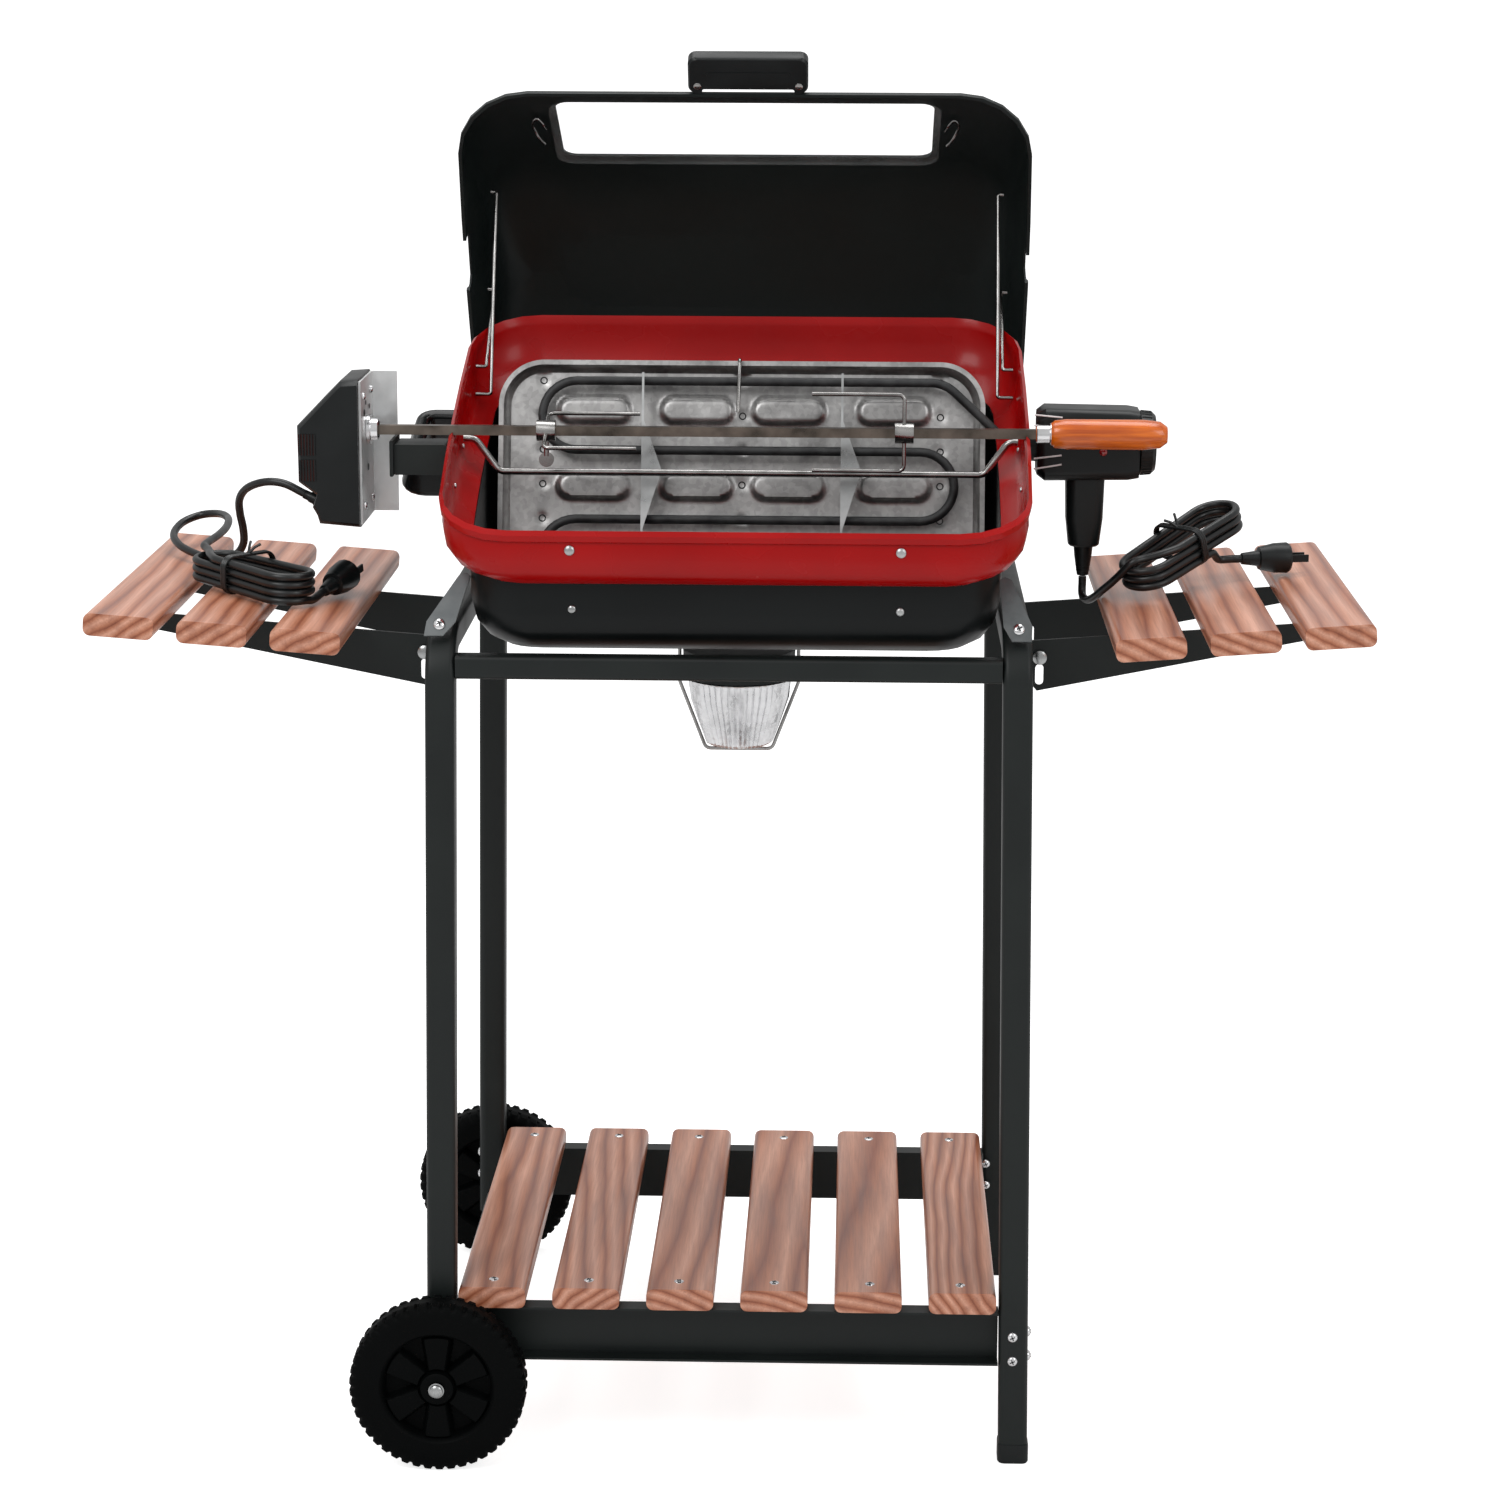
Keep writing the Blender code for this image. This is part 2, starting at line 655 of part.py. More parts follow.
def pan_point(x, down, lift):
    """Places a point of the reflector pan: down from its top edge, lifted off it to the front."""
    along = Vector((0, -math.cos(PAN_TILT), -math.sin(PAN_TILT)))
    off = Vector((0, -math.sin(PAN_TILT), math.cos(PAN_TILT)))
    return PAN_TOP + Vector((x, 0, 0)) + along * down + off * lift


def reflector():
    section = ((9, 0), (3, 8), (0, PAN_DEPTH), (0.6, PAN_DEPTH + 1.6), (4.2, PAN_DEPTH + 1.6), (10, 1.2))
    rings = []
    for inset, lift in section:
        half = PAN_HALF_WIDTH - inset
        outline = rounded_rectangle(half, inset, PAN_HEIGHT - inset, PAN_CORNER - inset, side_steps=1)
        rings.append([pan_point(x, down, lift) for x, down in outline])
    add("reflector_pan", loft(rings), "aluminised_steel")
    left, right = -175, 187
    top = ELEMENT_TOP
    rows = [top + ELEMENT_PITCH * i for i in range(4)]
    corners = [(226, 64), (178, rows[0]), (left, rows[0]), (left, rows[1]), (right, rows[1])]
    corners += [(right, rows[2]), (left, rows[2]), (left, rows[3]), (190, rows[3]), (206, rows[3] - 26)]
    path = fillet([pan_point(x, down, ELEMENT_LIFT) for x, down in corners], 30.45, 8)
    add("heating_element", sweep(circle(ELEMENT_RADIUS, 12), path, (0, 0, 1)), "element_steel")
    for x, name in ((-87, "left"), (87.5, "right")):
        element_support(x, name)
    points = [(-236, 10, 869), (-226, 10, 869), (-205, 10, 840.3)]
    points += [(215, 10, 840.3), (236, 10, 869), (244, 10, 869)]
    path = fillet(points, 9, 5)
    add("grid_wire", sweep(circle(3, 12), path, (0, 1, 0)), "zinc_steel")


def element_support(x, name):
    """A sheet strip set on edge, with a pointed flange turned over along its front."""
    rings = []
    back = ELEMENT_LIFT + ELEMENT_RADIUS + GAP
    for down, flange in ((13, 2), (55, 2), (99, 18), (150, 2), (196, 2)):
        corners = [(0, back), (1.2, back), (1.2, back + 8)]
        corners += [(flange, back + 8), (flange, back + 9.2), (0, back + 9.2)]
        rings.append([pan_point(x + a, down, lift) for a, lift in corners])
    add(f"element_support_{name}", loft(rings), "zinc_steel")


def motor():
    """The spit motor, its cover plate and the arm that carries it."""
    face = -318
    outline = [(-371, 888), (-343, 917), (-333, 927), (face, 928), (face, 801), (-353, 804)]
    outline += [(-355, 811), (-359, 818), (-355.5, 829), (-370.5, 840)]
    middle = Vector((face, 0, SPIT_Z - 16))
    rings = []
    for y, share in ((-66, 0.93), (-62, 0.98), (-56, 1), (16, 1), (22, 0.98), (26, 0.93)):
        rings.append([middle + Vector(((x - face) * share, y, (z - middle.z) * share)) for x, z in outline])
    housing = add("motor_housing", loft(rings), "black_plastic")
    bore = turned([(-16, 7), (30, 7)], (face, SPIT_Y, SPIT_Z), (1, 0, 0), 24)
    cut(housing, "drive_bore", loft(bore))
    corners = [(face + GAP, -60), (face + 2.3, -60), (face + 2.3, 18)]
    corners += [(-294.4, 18), (-294.4, 20), (face + GAP, 20)]
    rings = [[Vector((x, y, z)) for x, y in corners] for z in (804, 926)]
    plate = add("motor_plate", loft(rings), "zinc_steel")
    cut(plate, "plate_bore", loft(turned([(-6, 7), (6, 7)], (face, SPIT_Y, SPIT_Z), (1, 0, 0), 24)))
    wall = BOWL_X - BOWL_HALF_WIDTH - BOWL_BULGE - GAP
    arm = add("motor_bracket", box(((wall - 292) / 2, SPIT_Y, 857), (wall + 292, 40, 26), 3), "black_paint")
    flange = box((-292.5, SPIT_Y, 858.5), (3, 50, 31), 1)
    join(arm, "motor_flange", flange)


def side_handle():
    """A carrying handle on the bowl's left side, sloping with the rim."""
    wall = BOWL_X - BOWL_HALF_WIDTH - BOWL_BULGE - GAP
    reach = wall - 38
    front, rear = Vector((0, 13, 833)), Vector((0, 98, 869))
    points = [front + Vector((wall, 0, 0)), front + Vector((reach, 0, 0))]
    points += [rear + Vector((reach, 0, 0)), rear + Vector((wall, 0, 0))]
    section = rounded_rectangle(15, -6, 6, 4, 3, side_steps=1)
    add("side_handle", sweep(section, fillet(points, 14, 5), (0, 0, 1)), "black_plastic")


def controller():
    """The thermostat: a plug-in body with a grip below it and a dial on its outer end."""
    wall = BOWL_X + BOWL_HALF_WIDTH + BOWL_BULGE + GAP
    rings = []
    for x, half_depth, half_height in ((wall + 8, 21, 27), (268, 26, 31.5), (340, 26, 30.5), (349.5, 25, 29)):
        outline = rounded_rectangle(half_depth, -half_height, half_height, 9, 4, side_steps=1)
        rings.append([Vector((x, CONTROLLER_Y + y, CONTROLLER_Z + z)) for y, z in outline])
    body = add("controller_body", loft(rings), "black_plastic")
    rings = []
    for z, half_width, half_depth in ((840, 17, 17), (800, 16, 16), (777, 13.5, 13.5), (775.3, 12, 12)):
        outline = rounded_rectangle(half_width, -half_depth, half_depth, 9, 4, side_steps=1)
        rings.append([Vector((CONTROLLER_X + x, CONTROLLER_Y + y, z)) for x, y in outline])
    join(body, "controller_grip", loft(rings))
    neck = turned([(GAP, 13), (20, 13)], (wall, CONTROLLER_Y, CONTROLLER_Z - 4), (1, 0, 0), 20)
    join(body, "controller_neck", loft(neck))
    axis = (0, CONTROLLER_Y, CONTROLLER_Z)
    dial = turned([(349.9, 26), (351, 28), (361, 27), (364, 24)], axis, (1, 0, 0), 36)
    add("controller_dial", loft(dial), "black_plastic", (349.9, CONTROLLER_Y, CONTROLLER_Z))
    relief = turned([(775, 8.5), (765, 7.5), (RELIEF_LOW, 5)], (CONTROLLER_X, CONTROLLER_Y, 0), (0, 0, 1), 16)
    add("cord_relief", loft(relief), "black_plastic")


def smooth(points, spacing):
    """A smooth curve through the route points, with a point every spacing millimetres."""
    points = [Vector(point) for point in points]
    padded = [points[0] * 2 - points[1], *points, points[-1] * 2 - points[-2]]
    dense = []
    for a, b, c, d in zip(padded, padded[1:], padded[2:], padded[3:]):
        for i in range(20):
            t = i / 20
            curve = 2 * b + (c - a) * t + (2 * a - 5 * b + 4 * c - d) * t**2 + (3 * b - a - 3 * c + d) * t**3
            dense.append(curve / 2)
    dense.append(points[-1])
    lengths = [0.0]
    for before, after in zip(dense, dense[1:]):
        lengths.append(lengths[-1] + (after - before).length)
    count = max(2, round(lengths[-1] / spacing))
    path = []
    index = 0
    for i in range(count + 1):
        want = lengths[-1] * i / count
        while index < len(lengths) - 2 and lengths[index + 1] < want:
            index += 1
        share = (want - lengths[index]) / (lengths[index + 1] - lengths[index])
        path.append(dense[index].lerp(dense[index + 1], share))
    return path


def cord(name, route):
    """A plain tube along a smooth route."""
    curve = bpy.data.curves.new(name, "CURVE")
    curve.dimensions = "3D"
    curve.bevel_depth = CORD_RADIUS * MM
    curve.bevel_resolution = 2
    curve.use_fill_caps = True
    path = smooth(route, 2.2 * 2 * CORD_RADIUS)
    spline = curve.splines.new("POLY")
    spline.points.add(len(path) - 1)
    for point, place in zip(spline.points, path):
        point.co = (*(place * MM), 1)
    curve.materials.append(material("cord_rubber"))
    obj = bpy.data.objects.new(name, curve)
    obj.location = SHIFT * MM
    bpy.context.scene.collection.objects.link(obj)


def bundle(name, start, end, origin):
    """The outer shape of a wound-up cord: a flat bundle with round ends."""
    width, thickness = BUNDLE_WIDTH, BUNDLE_THICKNESS
    start, end = Vector(start), Vector(end)
    along = (end - start).normalized()
    across = Vector((0, 0, 1)).cross(along).normalized()
    up = along.cross(across)
    middle = (start + end) / 2
    half = (end - start).length / 2
    rings = []
    for level, inset in ((-0.5, 5), (-0.3, 1), (0, 0), (0.3, 1), (0.5, 5)):
        reach = width / 2 - inset
        outline = rounded_rectangle(reach, inset - half, half - inset, reach - 0.1, side_steps=1)
        lift = up * level * thickness
        rings.append([middle + across * a + along * b + lift for a, b in outline])
    add(name, loft(rings), "cord_rubber", origin)


def plug(name, tail, direction, origin):
    """A moulded plug with its own tapered relief and two blades."""
    direction = Vector(direction).normalized()
    profile = [(0, 3.5), (8, 3.5), (9, 5), (24, 7), (24.5, 10), (38, 13), (50, 13.5), (52, 12)]
    obj = add(name, loft(turned(profile, tail, direction, 16)), "black_plastic", origin)
    across = Vector((0, 0, 1)).cross(direction).normalized()
    up = direction.cross(across)
    for number, side in enumerate((-1, 1)):
        rings = []
        corners = ((0.8, 3.2), (-0.8, 3.2), (-0.8, -3.2), (0.8, -3.2))
        for along in (48, 68):
            middle = Vector(tail) + direction * along + across * side * 6.3
            rings.append([middle + across * a + up * b for a, b in corners])
        join(obj, f"{name}_blade_{number}", loft(rings))


MOTOR_CORD_ROUTE = [
    (-359.4, -20, 818.4),
    (-373, -20, 825),
    (-388, -18, 832),
    (-402, -15, 833.5),
    (-416, -8, 830),
    (-427, 2, 823),
    (-433, 10, 813),
    (-434, 18, 800),
    (-433, 26, 786),
    (-434, 33, 772),
    (-440, 37, 762),
    (-450, 40, 757),
    (-464, 46, 755),
    (-482, 60, 757),
    (-500, 82, 761),
    (-510, 110, 766),
    (-507, 138, 772),
    (-492, 152, 777),
    (-473, 140, 780),
    (-460, 108, 781),
    (-455, 70, 780),
    (-456, 36, 778.5),
    (-460, 8, 777),
    (-461.5, -9, 776),
]
CONTROLLER_CORD_ROUTE = [
    (304, 36, 747.6),
    (304, 36, 741),
    (303.8, 34.5, 735),
    (304.5, 29, 730.5),
    (308, 20, 729.5),
    (313, 10, 734),
    (319, 0.5, 741.5),
    (325.5, -8, 749),
    (331.5, -15, 756.5),
]


def cords():
    left = (-SHELF_PIVOT_X, 0, SHELF_PIVOT_Z)
    right = (SHELF_PIVOT_X, 0, SHELF_PIVOT_Z)
    cord("motor_cord", MOTOR_CORD_ROUTE)
    bundle("motor_cord_bundle", (-461.8, -12, 764), (-360, -108, 758), left)
    plug("motor_plug", (-351.6, -79.3, 746.5), (0.35, 0.94, 0.2), left)
    cord("controller_cord", CONTROLLER_CORD_ROUTE)
    bundle("controller_cord_bundle", (341, -22, 757), (436, 72, 801), right)
    plug("controller_plug", (434, 36, 764), (1, 0.2, 0), right)


def grease_cup():
    centre = (BOWL_X, 0, 0)
    outside = [(603, 27), (606, 29.5), (645, 42), (663, 45)]
    inside = [(663, 44), (645, 41), (606, 28.5), (604, 26)]
    add("grease_cup", loft(turned(outside + inside, centre, (0, 0, 1), 36)), "foil")
    half_top, half_low = 52, 29
    points = [
        (BOWL_X - half_top, 0, BOWL_FLOOR - GAP),
        (BOWL_X - half_top, 0, 658),
        (BOWL_X - half_low, 0, 598),
        (BOWL_X + half_low, 0, 598),
        (BOWL_X + half_top, 0, 658),
        (BOWL_X + half_top, 0, BOWL_FLOOR - GAP),
    ]
    add("cup_wire", sweep(circle(WIRE_RADIUS, 10), fillet(points, 6, 4), (0, 1, 0)), "zinc_steel")


def main():
    clear_scene()
    frame()
    wheels()
    bottom_shelf()
    side_shelf(-1, "left")
    side_shelf(1, "right")
    upper_shell()
    lower_shell()
    lid()
    lid_fittings()
    reflector()
    spit()
    motor()
    side_handle()
    controller()
    cords()
    grease_cup()


main()
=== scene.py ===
"""Looks of the rotisserie grill: materials for its nodes, and detailed pieces for the plain ones.

Lengths are in millimetres in the drawing's own frame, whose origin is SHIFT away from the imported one.
mm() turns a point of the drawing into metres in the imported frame.
"""

import math

import bmesh
import bpy
import numpy as np
from mathutils import Matrix, Vector


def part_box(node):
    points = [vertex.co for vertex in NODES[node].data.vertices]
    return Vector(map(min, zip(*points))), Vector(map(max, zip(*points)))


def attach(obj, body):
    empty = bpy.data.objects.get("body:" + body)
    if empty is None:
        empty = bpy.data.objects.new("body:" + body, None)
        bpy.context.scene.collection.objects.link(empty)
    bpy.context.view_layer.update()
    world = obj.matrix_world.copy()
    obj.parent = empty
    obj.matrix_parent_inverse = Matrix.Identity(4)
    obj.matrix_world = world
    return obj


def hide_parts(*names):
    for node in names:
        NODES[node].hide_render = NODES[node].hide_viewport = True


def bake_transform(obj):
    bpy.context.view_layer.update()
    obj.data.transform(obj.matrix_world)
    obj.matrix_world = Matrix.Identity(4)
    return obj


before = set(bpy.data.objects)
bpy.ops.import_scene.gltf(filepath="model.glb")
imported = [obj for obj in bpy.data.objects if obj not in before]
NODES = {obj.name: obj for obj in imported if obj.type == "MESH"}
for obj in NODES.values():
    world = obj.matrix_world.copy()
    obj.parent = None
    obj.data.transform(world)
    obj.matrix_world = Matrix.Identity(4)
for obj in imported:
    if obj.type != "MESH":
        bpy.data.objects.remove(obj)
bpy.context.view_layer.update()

MM = 0.001
SHIFT = Vector((0, -78, 0))

# Lines and places that several pieces share
BOWL_X = 4
SPIT_Y = -20
SPIT_Z = 880.4
LEG_FRONT_Y = -154
LEG_REAR_Y = 303
LEG_HALF_FOOT = 249
LEG_SPREAD = 9
LEG_TOP = 734

# The camera of the photograph
CAMERA_PLACE = Vector((103, -3177, 1315))
CAMERA_PITCH = math.radians(12.74)
CAMERA_YAW = math.radians(1.61)
CAMERA_ROLL = math.radians(-0.2)
CAMERA_LENS = 88.94
ROOM_LIGHT = 0.6
FLOOR_REACH = 60

# Cords
CORD_DIAMETER = 7
HANK_RADIUS = 21
MOTOR_CORD_ROUTE = [
    (-359.4, -20, 818.4),
    (-373, -20, 825),
    (-388, -18, 832),
    (-402, -15, 833.5),
    (-416, -8, 830),
    (-427, 2, 823),
    (-433, 10, 813),
    (-434, 18, 800),
    (-433, 26, 786),
    (-434, 33, 772),
    (-440, 37, 762),
    (-450, 40, 757),
    (-464, 46, 755),
    (-482, 60, 757),
    (-500, 82, 761),
    (-510, 110, 766),
    (-507, 138, 772),
    (-492, 152, 777),
    (-473, 140, 780),
    (-460, 108, 781),
    (-455, 70, 780),
    (-456, 36, 778.5),
    (-460, 8, 777),
    (-461.5, -9, 776),
]
MOTOR_HANK = (Vector((-461.8, -12, 764)), Vector((-360, -108, 758)))
MOTOR_PLUG_TAIL = Vector((-351.6, -79.3, 746.5))
MOTOR_PLUG_HEADING = Vector((0.35, 0.94, 0.2)).normalized()
CONTROLLER_CORD_ROUTE = [
    (304, 36, 747.6),
    (304, 36, 741),
    (303.8, 34.5, 735),
    (304.5, 29, 730.5),
    (308, 20, 729.5),
    (313, 10, 734),
    (319, 0.5, 741.5),
    (325.5, -8, 749),
    (331.5, -15, 756.5),
]
CONTROLLER_HANK = (Vector((341, -22, 757)), Vector((436, 72, 801)))
CONTROLLER_PLUG_TAIL = Vector((434, 36, 764))
CONTROLLER_PLUG_HEADING = Vector((1, 0.2, 0)).normalized()


def mm(point):
    """A point of the drawing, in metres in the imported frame."""
    return (Vector(point) + SHIFT) * MM


def low_high(node):
    """The lowest and highest corners of a CAD node, in the drawing's millimetres."""
    low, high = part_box(node)
    return low / MM - SHIFT, high / MM - SHIFT


# ---------------------------------------------------------------- camera, floor and light


def make_camera():
    """The camera of the photograph, turned by its yaw, pitch and roll."""
    sin, cos = math.sin, math.cos
    ahead = Vector((-sin(CAMERA_YAW), cos(CAMERA_YAW), 0)) * cos(CAMERA_PITCH)
    forward = ahead - Vector((0, 0, sin(CAMERA_PITCH)))
    level = Vector((cos(CAMERA_YAW), sin(CAMERA_YAW), 0))
    up = level.cross(forward)
    right = level * cos(CAMERA_ROLL) - up * sin(CAMERA_ROLL)
    up = right.cross(forward)
    camera = bpy.data.objects.new("camera", bpy.data.cameras.new("camera"))
    turn = Matrix((right, up, -forward)).transposed()
    camera.matrix_world = Matrix.Translation(mm(CAMERA_PLACE)) @ turn.to_4x4()
    camera.data.lens = CAMERA_LENS
    camera.data.sensor_width = 36
    camera.data.clip_end = 200
    bpy.context.scene.collection.objects.link(camera)
    bpy.context.scene.camera = camera


def add_light(name, place, target, size, power):
    """A rectangular area light that faces the target; its places and sizes are in metres."""
    data = bpy.data.lights.new(name, "AREA")
    data.shape = "RECTANGLE"
    data.size, data.size_y = size
    data.energy = power
    light = bpy.data.objects.new(name, data)
    light.location = place
    light.rotation_euler = (Vector(target) - Vector(place)).to_track_quat("-Z", "Y").to_euler()
    bpy.context.scene.collection.objects.link(light)


def seen_only_by_camera(tree, dim, bright):
    """A factor that is bright where the camera sees a surface directly, and dim for the light it sheds."""
    path = tree.nodes.new("ShaderNodeLightPath")
    change = tree.nodes.new("ShaderNodeMapRange")
    change.inputs["To Min"].default_value = dim
    change.inputs["To Max"].default_value = bright
    tree.links.new(path.outputs["Is Camera Ray"], change.inputs["Value"])
    return change.outputs["Result"]


def make_studio():
    """A white paper floor and a plain room, with large soft lights from above and from both sides."""
    scene = bpy.context.scene
    scene.view_settings.view_transform = "Standard"
    world = bpy.data.worlds.new("studio")
    world.use_nodes = True
    tree = world.node_tree
    tree.links.new(seen_only_by_camera(tree, ROOM_LIGHT, 1.0), tree.nodes["Background"].inputs["Strength"])
    tree.nodes["Background"].inputs["Color"].default_value = (1, 1, 1, 1)
    scene.world = world
    add_light("key", (-1.5, -2.4, 2.9), (0, 0, 0.7), (1.6, 1.6), 40)
    add_light("fill", (2.3, -2.2, 2.3), (0, 0, 0.8), (1.2, 1.8), 20)
    add_light("top", (0, 0.5, 3.2), (0, 0, 0.8), (2.6, 1.6), 46)
    mesh = bpy.data.meshes.new("floor")
    corners = [(-FLOOR_REACH, -FLOOR_REACH, 0), (FLOOR_REACH, -FLOOR_REACH, 0)]
    corners += [(FLOOR_REACH, FLOOR_REACH, 0), (-FLOOR_REACH, FLOOR_REACH, 0)]
    mesh.from_pydata(corners, [], [(0, 1, 2, 3)])
    floor = bpy.data.objects.new("floor", mesh)
    scene.collection.objects.link(floor)
    paper = bpy.data.materials.new("floor_paper")
    paper.use_nodes = True
    tree = paper.node_tree
    shader = tree.nodes["Principled BSDF"]
    shader.inputs["Base Color"].default_value = (0.8, 0.8, 0.8, 1)
    shader.inputs["Roughness"].default_value = 0.95
    shader.inputs["Specular IOR Level"].default_value = 0.0
    shader.inputs["Emission Color"].default_value = (1, 1, 1, 1)
    tree.links.new(seen_only_by_camera(tree, 0.0, 0.75), shader.inputs["Emission Strength"])
    mesh.materials.append(paper)


# ---------------------------------------------------------------- materials


class Paint:
    """Builds one procedural material, with short calls for the nodes that the materials share."""

    def __init__(self, name, roughness, metallic=0.0, specular=0.5):
        self.made = bpy.data.materials.new(name)
        self.made.use_nodes = True
        self.tree = self.made.node_tree
        self.shader = self.tree.nodes["Principled BSDF"]
        self.shader.inputs["Metallic"].default_value = metallic
        self.shader.inputs["Roughness"].default_value = roughness
        self.shader.inputs["Specular IOR Level"].default_value = specular
        self.place = self.node("ShaderNodeTexCoord").outputs["Object"]

    def node(self, kind, **values):
        made = self.tree.nodes.new(kind)
        for key, value in values.items():
            setattr(made, key, value)
        return made

    def link(self, source, target):
        self.tree.links.new(source, target)

    def mapped(self, scale=(1, 1, 1), offset=(0, 0, 0), turn=(0, 0, 0)):
        mapping = self.node("ShaderNodeMapping")
        mapping.inputs["Scale"].default_value = scale
        mapping.inputs["Location"].default_value = offset
        mapping.inputs["Rotation"].default_value = turn
        self.link(self.place, mapping.inputs["Vector"])
        return mapping.outputs["Vector"]

    def noise(self, scale, detail=3, vector=None, roughness=0.5, distortion=0.0):
        noise = self.node("ShaderNodeTexNoise")
        noise.inputs["Scale"].default_value = scale
        noise.inputs["Detail"].default_value = detail
        noise.inputs["Roughness"].default_value = roughness
        noise.inputs["Distortion"].default_value = distortion
        self.link(vector or self.place, noise.inputs["Vector"])
        return noise.outputs["Fac"]

    def cells(self, scale, vector=None, feature="F1", output="Distance"):
        cells = self.node("ShaderNodeTexVoronoi", feature=feature)
        cells.inputs["Scale"].default_value = scale
        self.link(vector or self.place, cells.inputs["Vector"])
        return cells.outputs[output]

    def remap(self, value, low, high, to_low, to_high):
        change = self.node("ShaderNodeMapRange")
        self.link(value, change.inputs["Value"])
        for key, number in zip(("From Min", "From Max", "To Min", "To Max"), (low, high, to_low, to_high)):
            change.inputs[key].default_value = number
        return change.outputs["Result"]

    def math(self, operation, first, second):
        made = self.node("ShaderNodeMath", operation=operation)
        for socket, value in zip(made.inputs, (first, second)):
            if isinstance(value, (int, float)):
                socket.default_value = value
            else:
                self.link(value, socket)
        return made.outputs["Value"]

    def ramp(self, value, stops):
        ramp = self.node("ShaderNodeValToRGB")
        elements = ramp.color_ramp.elements
        while len(elements) < len(stops):
            elements.new(0.5)
        for element, (place, colour) in zip(elements, stops):
            element.position = place
            element.color = (*colour, 1)
        self.link(value, ramp.inputs["Fac"])
        return ramp.outputs["Color"]

    def mixed(self, blend, share, first, second):
        mix = self.node("ShaderNodeMix", data_type="RGBA", blend_type=blend)
        mix.inputs["Factor"].default_value = share
        self.link(first, mix.inputs[6])
        self.link(second, mix.inputs[7])
        return mix.outputs[2]

    def colour(self, output):
        self.link(output, self.shader.inputs["Base Color"])

    def rough(self, value, low, high):
        self.link(self.remap(value, 0.3, 0.7, low, high), self.shader.inputs["Roughness"])

    def bump(self, height, distance, strength=1.0):
        """Bump in millimetres; a second call adds to the first."""
        bump = self.node("ShaderNodeBump")
        bump.inputs["Distance"].default_value = distance * MM
        bump.inputs["Strength"].default_value = strength
        self.link(height, bump.inputs["Height"])
        normal = self.shader.inputs["Normal"]
        if normal.is_linked:
            self.link(normal.links[0].from_socket, bump.inputs["Normal"])
        self.link(bump.outputs["Normal"], normal)

    def set(self, **values):
        for key, value in values.items():
            self.shader.inputs[key.replace("_", " ")].default_value = value


def powder_black():
    """Fine-grained powder coat on the cart's tubes and rails."""
    paint = Paint("black_powder_coat", 0.42, specular=0.3)
    grain = paint.noise(900, 2)
    cloud = paint.noise(14, 4)
    paint.colour(paint.ramp(cloud, [(0.3, (0.0055, 0.0078, 0.0076)), (0.75, (0.0095, 0.0128, 0.0122))]))
    paint.rough(cloud, 0.38, 0.5)
    paint.bump(grain, 0.05, 0.5)
    return paint.made


def lid_black():
    """Semi-matt stove enamel with a faint orange peel and a few dusty patches."""
    paint = Paint("black_lid_enamel", 0.4, specular=0.3)
    cloud = paint.noise(7, 5, distortion=0.4)
    peel = paint.noise(420, 2)
    paint.colour(paint.ramp(cloud, [(0.3, (0.0050, 0.0082, 0.0080)), (0.7, (0.0085, 0.0128, 0.0125))]))
    paint.rough(cloud, 0.36, 0.52)
    paint.bump(peel, 0.08, 0.35)
    return paint.made


def bowl_black():
    """Deeper and glossier black enamel on the lower bowl."""
    paint = Paint("black_bowl_enamel", 0.34, specular=0.2)
    cloud = paint.noise(9, 4, distortion=0.3)
    paint.colour(paint.ramp(cloud, [(0.3, (0.0022, 0.0030, 0.0032)), (0.7, (0.0042, 0.0056, 0.0058))]))
    paint.rough(cloud, 0.28, 0.42)
    paint.bump(paint.noise(380, 2), 0.06, 0.35)
    return paint.made


def red_enamel():
    """Deep red porcelain enamel with a glassy coat."""
    paint = Paint("red_enamel", 0.34, specular=0.22)
    cloud = paint.noise(9, 4)
    flow = paint.noise(60, 2)
    paint.colour(paint.ramp(cloud, [(0.3, (0.29, 0.0004, 0.0006)), (0.7, (0.37, 0.0008, 0.0011))]))
    paint.rough(cloud, 0.22, 0.32)
    paint.bump(flow, 0.12, 0.3)
    paint.set(Coat_Weight=0.06, Coat_Roughness=0.1)
    return paint.made


def moulded_black(name="moulded_black", roughness=0.36, grain_size=1500, specular=0.3, depth=1.0):
    """Moulded plastic with a fine spark-eroded grain; depth scales how dark it is."""
    paint = Paint(name, roughness, specular=specular)
    grain = paint.noise(grain_size, 2)
    cloud = paint.noise(20, 3)
    low, high = (Vector(tone) * depth for tone in ((0.0036, 0.0050, 0.0052), (0.0066, 0.0086, 0.0090)))
    paint.colour(paint.ramp(cloud, [(0.3, low), (0.7, high)]))
    paint.rough(cloud, roughness - 0.05, roughness + 0.08)
    paint.bump(grain, 0.04, 0.5)
    return paint.made


def cord_pvc():
    """Soft black jacket of the mains leads."""
    paint = Paint("cord_pvc", 0.34, specular=0.5)
    cloud = paint.noise(60, 3)
    paint.colour(paint.ramp(cloud, [(0.3, (0.0035, 0.0045, 0.0048)), (0.7, (0.0075, 0.0092, 0.0098))]))
    paint.rough(cloud, 0.28, 0.42)
    paint.bump(paint.noise(700, 2), 0.06, 0.4)
    return paint.made


